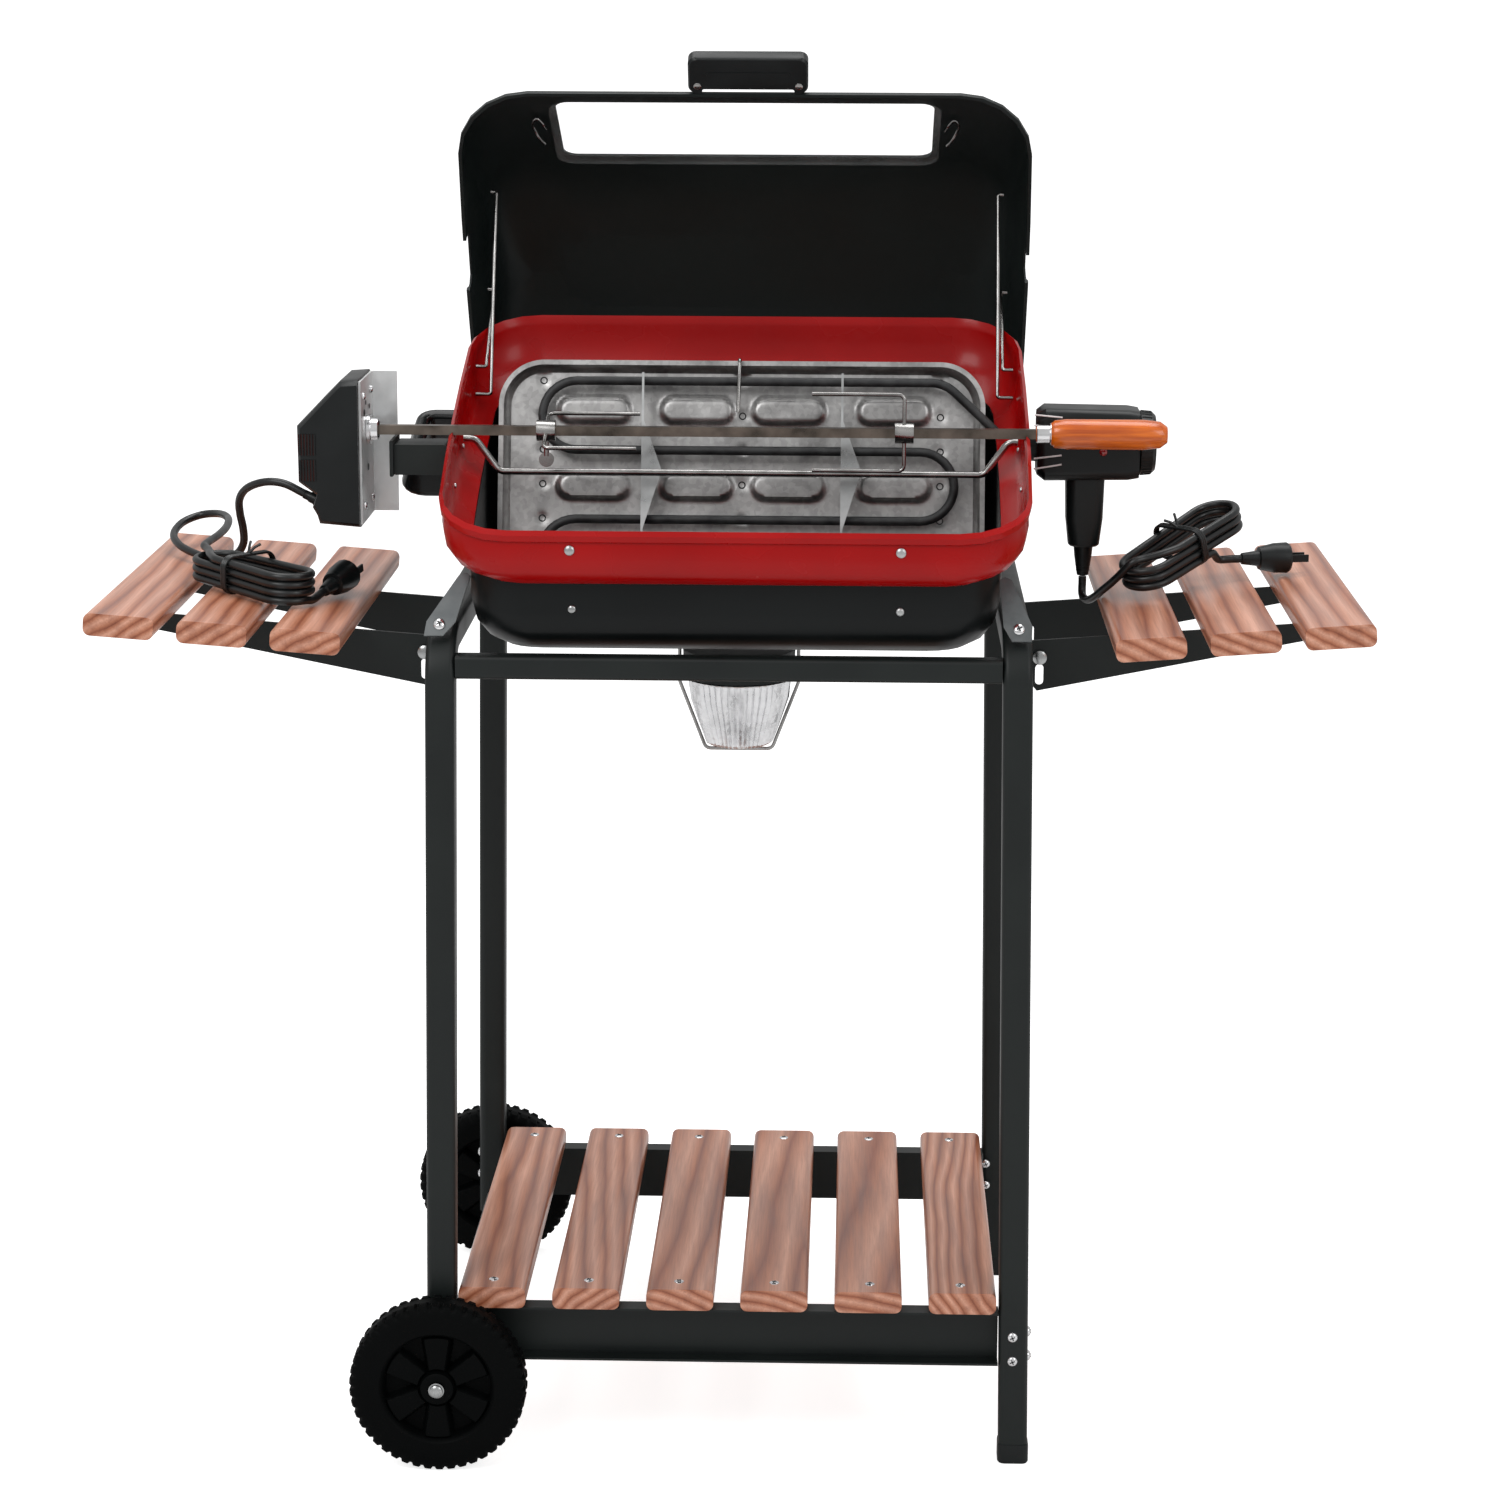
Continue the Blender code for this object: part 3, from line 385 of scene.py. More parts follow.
def stained_wood(number):
    """Stained softwood board: long rings cut by the board's faces, fine pores, a satin varnish and pale
    bluish streaks of painted sheen.
    """
    paint = Paint(f"stained_wood_{number}", 0.34, specular=0.5)
    tilt = math.radians(1.5 + 1.1 * (number % 4)) * (1 if number % 2 else -1)
    offset = (0.023 * (number * 7 % 11 - 5), 0.17 * number, 0.035 + 0.012 * (number * 5 % 7))
    board = paint.mapped(scale=(1, 0.13, 1), offset=offset, turn=(tilt * 0.5, 0, tilt))
    wander = paint.noise(11, 3, vector=board, distortion=0.4)
    split = paint.node("ShaderNodeSeparateXYZ")
    paint.link(board, split.inputs["Vector"])
    across = paint.math("ADD", split.outputs["X"], paint.remap(wander, 0, 1, -0.022, 0.022))
    depth = split.outputs["Z"]
    squares = paint.math("ADD", paint.math("MULTIPLY", across, across), paint.math("MULTIPLY", depth, depth))
    rings = paint.math("FRACT", paint.math("MULTIPLY", paint.math("SQRT", squares, 0), 105), 0)
    fibres = paint.noise(1, 4, vector=paint.mapped(scale=(700, 16, 700)), roughness=0.6)
    streaks_and_sheen = paint.noise(1, 3, vector=paint.mapped(scale=(90, 5, 90), offset=offset), distortion=0.4)
    soft, pale, late = (0.46, 0.170, 0.088), (0.66, 0.330, 0.225), (0.27, 0.070, 0.028)
    grain = paint.ramp(rings, [(0.0, late), (0.18, soft), (0.55, pale), (0.85, soft), (1.0, late)])
    pores = paint.ramp(fibres, [(0.3, (0.70, 0.66, 0.64)), (0.6, (1, 1, 1))])
    shade = paint.mixed("MULTIPLY", 0.7, grain, pores)
    # Streak tone: the darker stop is the board's own tone, the pale bluish stop is painted sheen of the
    # varnish.
    tone = paint.ramp(streaks_and_sheen, [(0.32, (0.74, 0.68, 0.66)), (0.55, (1, 1, 1)), (0.75, (1.16, 1.22, 1.26))])
    paint.colour(paint.mixed("MULTIPLY", 0.85, shade, tone))
    paint.rough(streaks_and_sheen, 0.28, 0.44)
    paint.bump(fibres, 0.15, 0.5)
    paint.bump(rings, 0.12, 0.35)
    paint.set(Coat_Weight=0.25, Coat_Roughness=0.22)
    return paint.made


def handle_wood():
    """Orange varnished turned wood."""
    paint = Paint("varnished_handle_wood", 0.25, specular=0.5)
    fibres = paint.noise(1, 4, vector=paint.mapped(scale=(18, 260, 260)), distortion=0.5)
    clouds = paint.noise(1, 3, vector=paint.mapped(scale=(22, 60, 60)))
    grain = paint.ramp(fibres, [(0.3, (0.46, 0.080, 0.003)), (0.7, (0.74, 0.165, 0.008))])
    shade = paint.ramp(clouds, [(0.3, (0.78, 0.62, 0.5)), (0.6, (1, 1, 1))])
    paint.colour(paint.mixed("MULTIPLY", 1.0, grain, shade))
    paint.bump(fibres, 0.06, 0.4)
    paint.set(Coat_Weight=0.35, Coat_Roughness=0.08)
    return paint.made


def aluminised():
    """Aluminised sheet: small spangles, handling marks and a dull sheen."""
    paint = Paint("aluminised_sheet", 0.4, metallic=1.0)
    spangle = paint.ramp(paint.cells(260, output="Color"), [(0.25, (0.72, 0.72, 0.72)), (0.75, (1, 1, 1))])
    fine = paint.noise(700, 3)
    smear = paint.noise(1, 4, vector=paint.mapped(scale=(30, 90, 9)), distortion=0.6)
    dull, clean, bright = (0.27, 0.265, 0.262), (0.42, 0.415, 0.41), (0.56, 0.555, 0.55)
    tint = paint.ramp(smear, [(0.25, dull), (0.55, clean), (0.8, bright)])
    paint.colour(paint.mixed("MULTIPLY", 0.6, tint, spangle))
    paint.rough(smear, 0.30, 0.48)
    paint.bump(fine, 0.05, 0.5)
    return paint.made


def plated(name, colour, roughness, worn=0.12):
    """Nickel, zinc or chrome plate with faint drawing marks and tarnish."""
    paint = Paint(name, roughness, metallic=1.0)
    cloud = paint.noise(45, 4)
    dark = tuple(channel * (1 - worn * 2.5) for channel in colour)
    paint.colour(paint.ramp(cloud, [(0.3, dark), (0.65, colour)]))
    paint.rough(cloud, roughness * 0.8, roughness * 1.5)
    paint.bump(paint.noise(1, 3, vector=paint.mapped(scale=(60, 900, 900))), 0.03, 0.4)
    return paint.made


def element_sheath():
    """Oxidised heater sheath, nearly black with paler rubbed spots."""
    paint = Paint("element_sheath", 0.5, metallic=0.55)
    cloud = paint.noise(70, 4)
    paint.colour(paint.ramp(cloud, [(0.3, (0.020, 0.021, 0.022)), (0.75, (0.060, 0.061, 0.062))]))
    paint.rough(cloud, 0.42, 0.62)
    paint.bump(paint.noise(1400, 2), 0.05, 0.5)
    return paint.made


def window_glass():
    """Clear glass, drawn as a faint smudged film that light passes straight through."""
    paint = Paint("window_glass", 0.06, specular=0.3)
    smudge = paint.noise(16, 4)
    paint.rough(smudge, 0.03, 0.12)
    paint.colour(paint.ramp(smudge, [(0.3, (0.90, 0.95, 0.94)), (0.7, (1, 1, 1))]))
    paint.link(paint.remap(smudge, 0.2, 0.8, 0.02, 0.07), paint.shader.inputs["Alpha"])
    return paint.made


def crumpled_foil():
    """Thin bright foil with sharp creases."""
    paint = Paint("crumpled_foil", 0.25, metallic=1.0)
    creases = paint.cells(120, feature="DISTANCE_TO_EDGE")
    cloud = paint.noise(60, 3)
    paint.colour(paint.ramp(cloud, [(0.3, (0.62, 0.62, 0.63)), (0.7, (0.88, 0.88, 0.89))]))
    paint.rough(cloud, 0.2, 0.38)
    paint.bump(creases, 0.9, 0.7)
    return paint.made


def ruby_lamp():
    """Clear red lens of the pilot lamp."""
    paint = Paint("ruby_lamp", 0.15, specular=0.6)
    paint.colour(paint.ramp(paint.noise(400, 2), [(0.3, (0.22, 0.004, 0.006)), (0.7, (0.38, 0.010, 0.012))]))
    paint.bump(paint.cells(900), 0.1, 0.5)
    paint.set(Coat_Weight=1.0, Coat_Roughness=0.05)
    return paint.made


def white_paper():
    """Off-white filling of the controller's raised ribs."""
    paint = Paint("white_paper", 0.6, specular=0.3)
    paint.colour(paint.ramp(paint.noise(90, 3), [(0.3, (0.62, 0.56, 0.56)), (0.7, (0.80, 0.76, 0.76))]))
    paint.bump(paint.noise(500, 2), 0.05, 0.5)
    return paint.made


def galvanised_strap():
    """Dull grey coated steel."""
    paint = Paint("galvanised_strap", 0.42, metallic=0.7)
    cloud = paint.noise(50, 4)
    paint.colour(paint.ramp(cloud, [(0.3, (0.085, 0.092, 0.095)), (0.7, (0.14, 0.15, 0.152))]))
    paint.rough(cloud, 0.36, 0.5)
    paint.bump(paint.noise(700, 2), 0.05, 0.5)
    return paint.made


def painted_vent_shade():
    """Painted shade: the reddish dark between the motor's louvres, laid on as a dark sheet."""
    paint = Paint("painted_vent_shade", 0.6, specular=0.2)
    cloud = paint.noise(60, 3)
    paint.colour(paint.ramp(cloud, [(0.35, (0.004, 0.003, 0.003)), (0.7, (0.045, 0.010, 0.008))]))
    paint.bump(paint.noise(900, 2), 0.05, 0.4)
    return paint.made


LOOKS = {
    "strap": galvanised_strap(),
    "vent_shade": painted_vent_shade(),
    "powder": powder_black(),
    "lid": lid_black(),
    "bowl": bowl_black(),
    "red": red_enamel(),
    "plastic": moulded_black(),
    "gloss": moulded_black("gloss_black_handle", 0.2, 600),
    "wheel": moulded_black("wheel_plastic", 0.55, 900, 0.06, 0.2),
    "cord": cord_pvc(),
    "handle": handle_wood(),
    "aluminised": aluminised(),
    "chrome": plated("bright_plate", (0.86, 0.86, 0.87), 0.16, 0.06),
    "plate": plated("motor_plate_steel", (0.78, 0.79, 0.79), 0.38, 0.06),
    "zinc": plated("zinc_plate", (0.50, 0.51, 0.51), 0.28),
    "nickel": plated("nickel_wire", (0.42, 0.41, 0.40), 0.2, 0.2),
    "spit": plated("spit_bar", (0.22, 0.185, 0.155), 0.32, 0.24),
    "element": element_sheath(),
    "glass": window_glass(),
    "foil": crumpled_foil(),
    "lamp": ruby_lamp(),
    "paper": white_paper(),
}

NODE_LOOKS = {
    "powder": [
        "leg_frame_left", "leg_frame_right", "crossbar_front", "crossbar_rear", "shelf_rail_front",
        "shelf_rail_rear", "shelf_bracket_left_front", "shelf_bracket_left_rear",
        "shelf_bracket_right_front", "shelf_bracket_right_rear", "motor_bracket",
    ],
    "lid": ["lid"],
    "bowl": ["bowl_lower"],
    "red": ["bowl_upper"],
    "plastic": [
        "motor_housing", "controller_body", "controller_dial", "cord_relief", "lid_handle", "motor_plug",
        "controller_plug",
    ],
    "gloss": ["side_handle"],
    "handle": ["spit_handle"],
    "zinc": ["axle", "element_support_left", "element_support_right"],
    "nickel": [
        "grid_wire", "lid_stay_left", "lid_stay_right", "lid_link_left", "lid_link_right", "fork_left",
        "fork_right", "fork_screw", "cup_wire",
    ],
    "plate": ["motor_plate"],
    "spit": ["spit_rod"],
    "element": ["heating_element"],
    "glass": ["lid_window"],
}


def soften(obj, bevel=0.0):
    """Rounds a CAD node's sharp edges a little and shades its curves smoothly, by modifiers alone."""
    weld = obj.modifiers.new("weld", "WELD")
    weld.merge_threshold = 0.00002
    if bevel:
        edge = obj.modifiers.new("bevel", "BEVEL")
        edge.width = bevel * MM
        edge.segments = 2
        edge.limit_method = "ANGLE"
        edge.angle_limit = math.radians(50)
    split = obj.modifiers.new("split", "EDGE_SPLIT")
    split.split_angle = math.radians(38)
    weighted = obj.modifiers.new("weighted", "WEIGHTED_NORMAL")
    weighted.weight = 100
    for polygon in obj.data.polygons:
        polygon.use_smooth = True


def dress(node, look, bevel=0.0):
    """Gives a CAD node its material and its soft edges."""
    obj = NODES[node]
    obj.data.materials.clear()
    obj.data.materials.append(look)
    soften(obj, bevel)


def dress_nodes():
    for look, nodes in NODE_LOOKS.items():
        for node in nodes:
            dress(node, LOOKS[look])
    slats = sorted(node for node in NODES if "slat" in node)
    for number, node in enumerate(slats, 1):
        dress(node, stained_wood(number), 0.8)


# ---------------------------------------------------------------- mesh helpers


def piece(name, bm, look, body, smooth=True, angle=38):
    """Turns a bmesh drawn in millimetres into a piece that rides on a body."""
    bmesh.ops.recalc_face_normals(bm, faces=bm.faces)
    for vertex in bm.verts:
        vertex.co = mm(vertex.co)
    mesh = bpy.data.meshes.new(name)
    bm.to_mesh(mesh)
    bm.free()
    mesh.materials.append(LOOKS[look])
    obj = bpy.data.objects.new(name, mesh)
    bpy.context.scene.collection.objects.link(obj)
    if smooth:
        for polygon in mesh.polygons:
            polygon.use_smooth = True
        mesh.set_sharp_from_angle(angle=math.radians(angle))
    if body:
        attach(obj, body)
    return obj


def skin(bm, rings, closed=False, cap=True):
    """Adds a skin over a row of rings to a bmesh."""
    rows = [[bm.verts.new(point) for point in ring] for ring in rings]
    pairs = list(zip(rows, rows[1:]))
    if closed:
        pairs.append((rows[-1], rows[0]))
    elif cap:
        bm.faces.new(rows[0])
        bm.faces.new(rows[-1])
    count = len(rows[0])
    for low, high in pairs:
        for i in range(count):
            j = (i + 1) % count
            bm.faces.new((low[i], low[j], high[j], high[i]))
    return bm


def axes_of(axis):
    """Two directions across an axis, and the axis itself, all of unit length."""
    axis = Vector(axis).normalized()
    helper = Vector((0, 0, 1)) if abs(axis.z) < 0.9 else Vector((0, 1, 0))
    first = helper.cross(axis).normalized()
    return first, axis.cross(first), axis


def turned(bm, profile, centre, axis, steps=32):
    """Adds a turned solid: profile holds (distance along the axis, radius) points."""
    first, second, along = axes_of(axis)
    centre = Vector(centre)
    rings = []
    for distance, radius in profile:
        ring = []
        for i in range(steps):
            angle = 2 * math.pi * i / steps
            outward = first * math.cos(angle) + second * math.sin(angle)
            ring.append(centre + along * distance + outward * radius)
        rings.append(ring)
    return skin(bm, rings)


def smooth_path(points, spacing):
    """A smooth curve through the points, with an even spacing."""
    points = [Vector(point) for point in points]
    padded = [points[0] * 2 - points[1], *points, points[-1] * 2 - points[-2]]
    dense = []
    for a, b, c, d in zip(padded, padded[1:], padded[2:], padded[3:]):
        for i in range(16):
            t = i / 16
            cubic = 2 * b + (c - a) * t + (2 * a - 5 * b + 4 * c - d) * t**2 + (3 * b - a - 3 * c + d) * t**3
            dense.append(cubic / 2)
    dense.append(points[-1])
    lengths = np.cumsum([0] + [(b - a).length for a, b in zip(dense, dense[1:])])
    wanted = np.linspace(0, lengths[-1], max(2, round(lengths[-1] / spacing)) + 1)
    table = np.array(dense)
    columns = [np.interp(wanted, lengths, table[:, i]) for i in range(3)]
    return [Vector(point) for point in zip(*columns)], float(lengths[-1])


def tube(bm, path, radius, steps=12):
    """Adds a round tube along a path, turned as little as possible from point to point."""
    rings = []
    first = None
    for i, point in enumerate(path):
        before, after = path[max(i - 1, 0)], path[min(i + 1, len(path) - 1)]
        along = (after - before).normalized()
        if first is None:
            first = axes_of(along)[0]
        first = (first - along * first.dot(along)).normalized()
        second = along.cross(first)
        ring = []
        for k in range(steps):
            angle = 2 * math.pi * k / steps
            ring.append(point + (first * math.cos(angle) + second * math.sin(angle)) * radius)
        rings.append(ring)
    return skin(bm, rings)


def slab(bm, corners, thickness, normal):
    """Adds a flat plate: its corners in a plane, thickened along the normal."""
    lift = Vector(normal).normalized() * thickness
    base = [Vector(corner) for corner in corners]
    return skin(bm, [base, [corner + lift for corner in base]])


def rounded_outline(half_width, half_height, radius, steps=8):
    """The points of a rectangle with round corners."""
    points = []
    for x_sign, y_sign, start in ((1, 1, 0), (-1, 1, 90), (-1, -1, 180), (1, -1, 270)):
        for i in range(steps + 1):
            angle = math.radians(start + 90 * i / steps)
            x = x_sign * (half_width - radius) + radius * math.cos(angle)
            points.append((x, y_sign * (half_height - radius) + radius * math.sin(angle)))
    return points


# ---------------------------------------------------------------- cords


def hank_path(start, end, turns, first_level, drop, angle_out=None, run_out=None):
    """The centreline of a hank of flat oval turns between two ends.

    It comes in over the near end, runs along the far side of each turn and steps by one layer a turn.
    It leaves the last far fold after angle_out degrees, or the last run at the distance run_out.
    """
    along = (end - start).normalized()
    across = Vector((0, 0, 1)).cross(along).normalized()
    up = along.cross(across)
    reach = HANK_RADIUS + CORD_DIAMETER / 2
    near, far = reach, (end - start).length - reach
    flat = []

    def put(s, a):
        flat.append((s, a))

    for s, a in ((6, -1), (16, -6), (28, -14), (42, -20)):
        put(s, a)
    for turn in range(turns + 1):
        last = turn == turns
        if turn:
            put(near + 6, -HANK_RADIUS)
        for s in np.linspace(near + 25, run_out if last and run_out else far - 4, 3):
            put(float(s), -HANK_RADIUS)
        if last and run_out:
            break
        for angle in range(0, int(angle_out if last and angle_out else 180) + 1, 20):
            turned_by = math.radians(angle)
            put(far + HANK_RADIUS * math.sin(turned_by), -HANK_RADIUS * math.cos(turned_by))
        if last:
            break
        for s in np.linspace(far - 6, near + 4, 3):
            put(float(s), HANK_RADIUS)
        for angle in range(0, 181, 20):
            turned_by = math.radians(angle)
            put(near - HANK_RADIUS * math.sin(turned_by), HANK_RADIUS * math.cos(turned_by))
    lengths = np.cumsum([0] + [math.dist(a, b) for a, b in zip(flat, flat[1:])])
    total = lengths[-1]
    points = []
    for (s, a), length in zip(flat, lengths):
        level = first_level - drop * (length / total)
        points.append(start + along * s + across * a + up * level)
    return points


def make_cord(name, route, hank, tail, heading, nodes, hank_settings):
    """One mains lead: the loose route, then the hank's turns, then into the plug's tail."""
    winding = hank_path(*hank, **hank_settings)
    ending = [tail - heading * 12, tail, tail + heading * 6]
    path, length = smooth_path([*route, *winding, *ending], 3.2)
    bm = tube(bmesh.new(), path, CORD_DIAMETER / 2, 14)
    obj = piece(name, bm, "cord", None)
    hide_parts(*nodes)
    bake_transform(obj)
    return obj


def hank_tie(name, hank, share, body):
    """A twisted wire tie round the middle of a hank, with its two ends standing off."""
    start, end = hank
    along = (end - start).normalized()
    across = Vector((0, 0, 1)).cross(along).normalized()
    up = along.cross(across)
    centre = start.lerp(end, share)
    bm = bmesh.new()
    for shift in (-2.2, 0, 2.2):
        loop = []
        for x, y in rounded_outline(26.5, 15.6, 9):
            loop.append(centre + along * shift + across * x + up * y)
        tube(bm, [*loop, loop[0]], 1.3, 8)
    for lean in (-0.5, 0.5):
        foot = centre + up * 15.6
        tip = foot + up * 9 + along * lean * 14 + across * 8
        tube(bm, [foot, foot.lerp(tip, 0.5) + up * 1.5, tip], 1.2, 8)
    piece(name, bm, "cord", body)


def make_cords():
    """Both mains leads, and the ties round their hanks."""
    make_cord(
        "motor_lead", MOTOR_CORD_ROUTE, MOTOR_HANK, MOTOR_PLUG_TAIL,
        MOTOR_PLUG_HEADING, ("motor_cord", "motor_cord_bundle"),
        {"turns": 3, "first_level": 11.5, "drop": 24, "angle_out": 113},
    )
    make_cord(
        "controller_lead", CONTROLLER_CORD_ROUTE, CONTROLLER_HANK,
        CONTROLLER_PLUG_TAIL, CONTROLLER_PLUG_HEADING, ("controller_cord", "controller_cord_bundle"),
        {"turns": 3, "first_level": 11.5, "drop": 24, "run_out": 84},
    )
    hank_tie("motor_lead_tie", MOTOR_HANK, 0.45, "shelf_left")
    hank_tie("controller_lead_tie", CONTROLLER_HANK, 0.5, "shelf_right")


# ---------------------------------------------------------------- reflector pan

PAN_TOP = Vector((3.5, 90, 926.5))
PAN_TILT = math.radians(75)
PAN_HALF_WIDTH = 214
PAN_HEIGHT = 217
PAN_CORNER = 40
PAN_RIM = 4.2
PAN_WALL = 10
PAN_LIFT = 12.6
PAN_FLOOR = 1.2
HOLE_COLUMNS = (-175.5, 0.5, 174.9)
HOLE_ROWS = [16.8 + 30.5 * i for i in range(7)]
DIMPLE_COLUMNS = (-130.2, -39.5, 41.5, 134)
DIMPLE_ROWS = (43, 110, 172)


def pan_point(x, down, lift):
    """A point of the pan: across from its middle, down from its top edge, lifted off it to the front."""
    along = Vector((0, -math.cos(PAN_TILT), -math.sin(PAN_TILT)))
    off = Vector((0, -math.sin(PAN_TILT), math.cos(PAN_TILT)))
    return PAN_TOP + Vector((x, 0, 0)) + along * down + off * lift


def ease(value, low, high):
    """A smooth step from 0 at low to 1 at high."""
    share = min(max((value - low) / (high - low), 0), 1)
    return share * share * (3 - 2 * share)


def slot_distance(x, y, half_length):
    """Distance from a level line of the given half length."""
    return math.hypot(max(abs(x) - half_length, 0), y)


def pan_lift(x, down, inset):
    """How far the pan's front face stands off: flat rim, sloped wall, raised lozenges and dished holes."""
    lift = PAN_FLOOR + (PAN_LIFT - PAN_FLOOR) * (1 - ease(inset, PAN_RIM, PAN_WALL))
    for column in DIMPLE_COLUMNS:
        for row in DIMPLE_ROWS:
            away = slot_distance(x - column, down - row, 21)
            lift += 5 * (1 - ease(away, 8.5, 13))
    for column in HOLE_COLUMNS:
        for row in HOLE_ROWS:
            lift -= 1.0 * (1 - ease(math.hypot(x - column, down - row), 3, 6.5))
    return lift


def pan_grid():
    """Grid lines of the pan, close together over the rim, and where each falls on the rounded outline."""
    edge = [0, 0.8, 2.5, PAN_RIM, 5.6, 7.1, 8.6, PAN_WALL, 12.5]
    step = 2.6

    def lines(half):
        inner = half - edge[-1]
        count = round(2 * inner / step)
        middle = [-inner + 2 * inner * i / count for i in range(1, count)]
        return [inset - half for inset in edge] + middle + [half - inset for inset in reversed(edge)]

    return lines(PAN_HALF_WIDTH), lines(PAN_HEIGHT / 2)


def onto_rounded(x, y, half_width, half_height, corner):
    """Moves a point of a plain rectangle onto the same rectangle with round corners; also gives its inset."""
    a, b = abs(x) - (half_width - corner), abs(y) - (half_height - corner)
    if a <= 0 or b <= 0:
        return x, y, min(corner - a, corner - b)
    radius = max(a, b)
    angle = math.pi / 4 * (b / a) if a >= b else math.pi / 2 - math.pi / 4 * (a / b)
    x = math.copysign(half_width - corner + radius * math.cos(angle), x)
    y = math.copysign(half_height - corner + radius * math.sin(angle), y)
    return x, y, corner - radius


def reflector_pan():
    """The pressed pan: a front and a back skin over one grid, joined round the edge, and dark discs of
    painted shade in its holes.
    """
    columns, rows = pan_grid()
    bm = bmesh.new()
    fronts, backs = {}, {}
    for i, x in enumerate(columns):
        for j, y in enumerate(rows):
            px, py, inset = onto_rounded(x, y, PAN_HALF_WIDTH, PAN_HEIGHT / 2, PAN_CORNER)
            down = py + PAN_HEIGHT / 2
            lift = pan_lift(px, down, inset)
            fronts[i, j] = bm.verts.new(pan_point(px, down, lift))
            backs[i, j] = bm.verts.new(pan_point(px, down, lift - 1.1))
    last_i, last_j = len(columns) - 1, len(rows) - 1
    for i in range(last_i):
        for j in range(last_j):
            for side in (fronts, backs):
                bm.faces.new((side[i, j], side[i + 1, j], side[i + 1, j + 1], side[i, j + 1]))
    border = [(i, 0) for i in range(last_i)] + [(last_i, j) for j in range(last_j)]
    border += [(i, last_j) for i in range(last_i, 0, -1)] + [(0, j) for j in range(last_j, 0, -1)]
    for a, b in zip(border, border[1:] + border[:1]):
        bm.faces.new((fronts[a], fronts[b], backs[b], backs[a]))
    obj = piece("reflector_sheet", bm, "aluminised", "cart", angle=50)
    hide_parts("reflector_pan")
    # Dark dished discs in the holes: painted shade seen through them.
    hole_shade = bmesh.new()
    dished = [(-2.2, 1.0), (-2.2, 3.0), (-0.75, 3.4), (-0.5, 2.9), (-1.6, 1.2)]
    for column in HOLE_COLUMNS:
        for row in HOLE_ROWS:
            turned(hole_shade, dished, pan_point(column, row, PAN_FLOOR), off_pan(), 16)
    piece("reflector_hole_shade", hole_shade, "element", "cart")
    hook = bmesh.new()
    bends = ((-2, 3, 8), (-2, 0, 18), (-2, 8, 21), (-3, 46, 20))
    path, _ = smooth_path([pan_point(*bend) for bend in bends], 2)
    tube(hook, path, 1.7, 10)
    piece("element_hanger", hook, "nickel", "cart")


def off_pan():
    """The direction straight out of the pan's front."""
    return pan_point(0, 0, 1) - pan_point(0, 0, 0)


# ---------------------------------------------------------------- wheels and axle

WHEEL_RADIUS = 76.2
WHEEL_X = -248.07
TREADS = 46
SPOKES = 6


def wheel_profile():
    """The wheel's section as (distance along the axle, radius, kind) from the bore round and back to it."""
    face = [(-14.5, 5.4, ""), (-16.5, 6.5, ""), (-16.5, 12.5, ""), (-15.5, 14, ""), (-9.5, 15.5, "")]
    face += [(-9, radius, "web") for radius in (17, 20, 24, 28, 32, 36, 40, 43, 45)]
    face += [(-10, 46.5, ""), (-14, 48, ""), (-15.6, 50, "")]
    face += [(-15.9, 55, ""), (-16.5, 62, ""), (-16.4, 66, "")]
    face += [(-15.6, 70.5, "shoulder"), (-13.6, 74.4, "tread"), (-10, 76.2, "tread"), (-6, 76.2, "tread")]
    face += [(-5, 75.4, ""), (-1, 75.4, "")]
    return face + [(-distance, radius, kind) for distance, radius, kind in reversed(face)]


def wheel(name, node, centre):
    """A moulded wheel: the section turned round the axle, with tread grooves and raised spokes."""
    steps = TREADS * 6
    rings = []
    for distance, radius, kind in wheel_profile():
        ring = []
        for i in range(steps):
            angle = 2 * math.pi * i / steps
            groove = 1 if i % 6 in (0, 1) else 0
            r, along = radius, distance
            if kind == "tread":
                r -= 2.4 * groove
            if kind == "shoulder":
                r -= 1.2 * groove
            if kind == "web":
                turn = (angle * SPOKES / (2 * math.pi)) % 1
                off_spoke = abs(turn - 0.5) * 2 * math.pi / SPOKES * radius
                spoke = 1 - ease(off_spoke, 6.5 + (radius - 16) * 0.13, 10 + (radius - 16) * 0.16)
                along = math.copysign(abs(distance) - 6.5 + 10 * spoke, distance)
            ring.append(Vector(centre) + Vector((math.cos(angle) * r, along, math.sin(angle) * r)))
        rings.append(ring)
    bm = skin(bmesh.new(), rings, closed=True)
    obj = piece(name, bm, "wheel", node, angle=34)
    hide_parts(node)


def wheels():
    """Both wheels, and the push nuts on the axle's ends."""
    wheel("front_wheel_moulding", "wheel_front", (WHEEL_X, -186, WHEEL_RADIUS))
    wheel("rear_wheel_moulding", "wheel_rear", (WHEEL_X, 342, WHEEL_RADIUS))
    caps = bmesh.new()
    for end, outward in ((-204.5, -1), (360.5, 1)):
        cap = [(0, 5.0), (0, 6.6), (0.8, 6.8), (1.2, 5.9), (3.6, 5.6), (5.0, 4.0), (5.5, 1.1)]
        turned(caps, cap, (WHEEL_X, end, WHEEL_RADIUS), (0, outward, 0), 24)
    piece("push_nuts", caps, "zinc", "cart")


# ---------------------------------------------------------------- grease cup


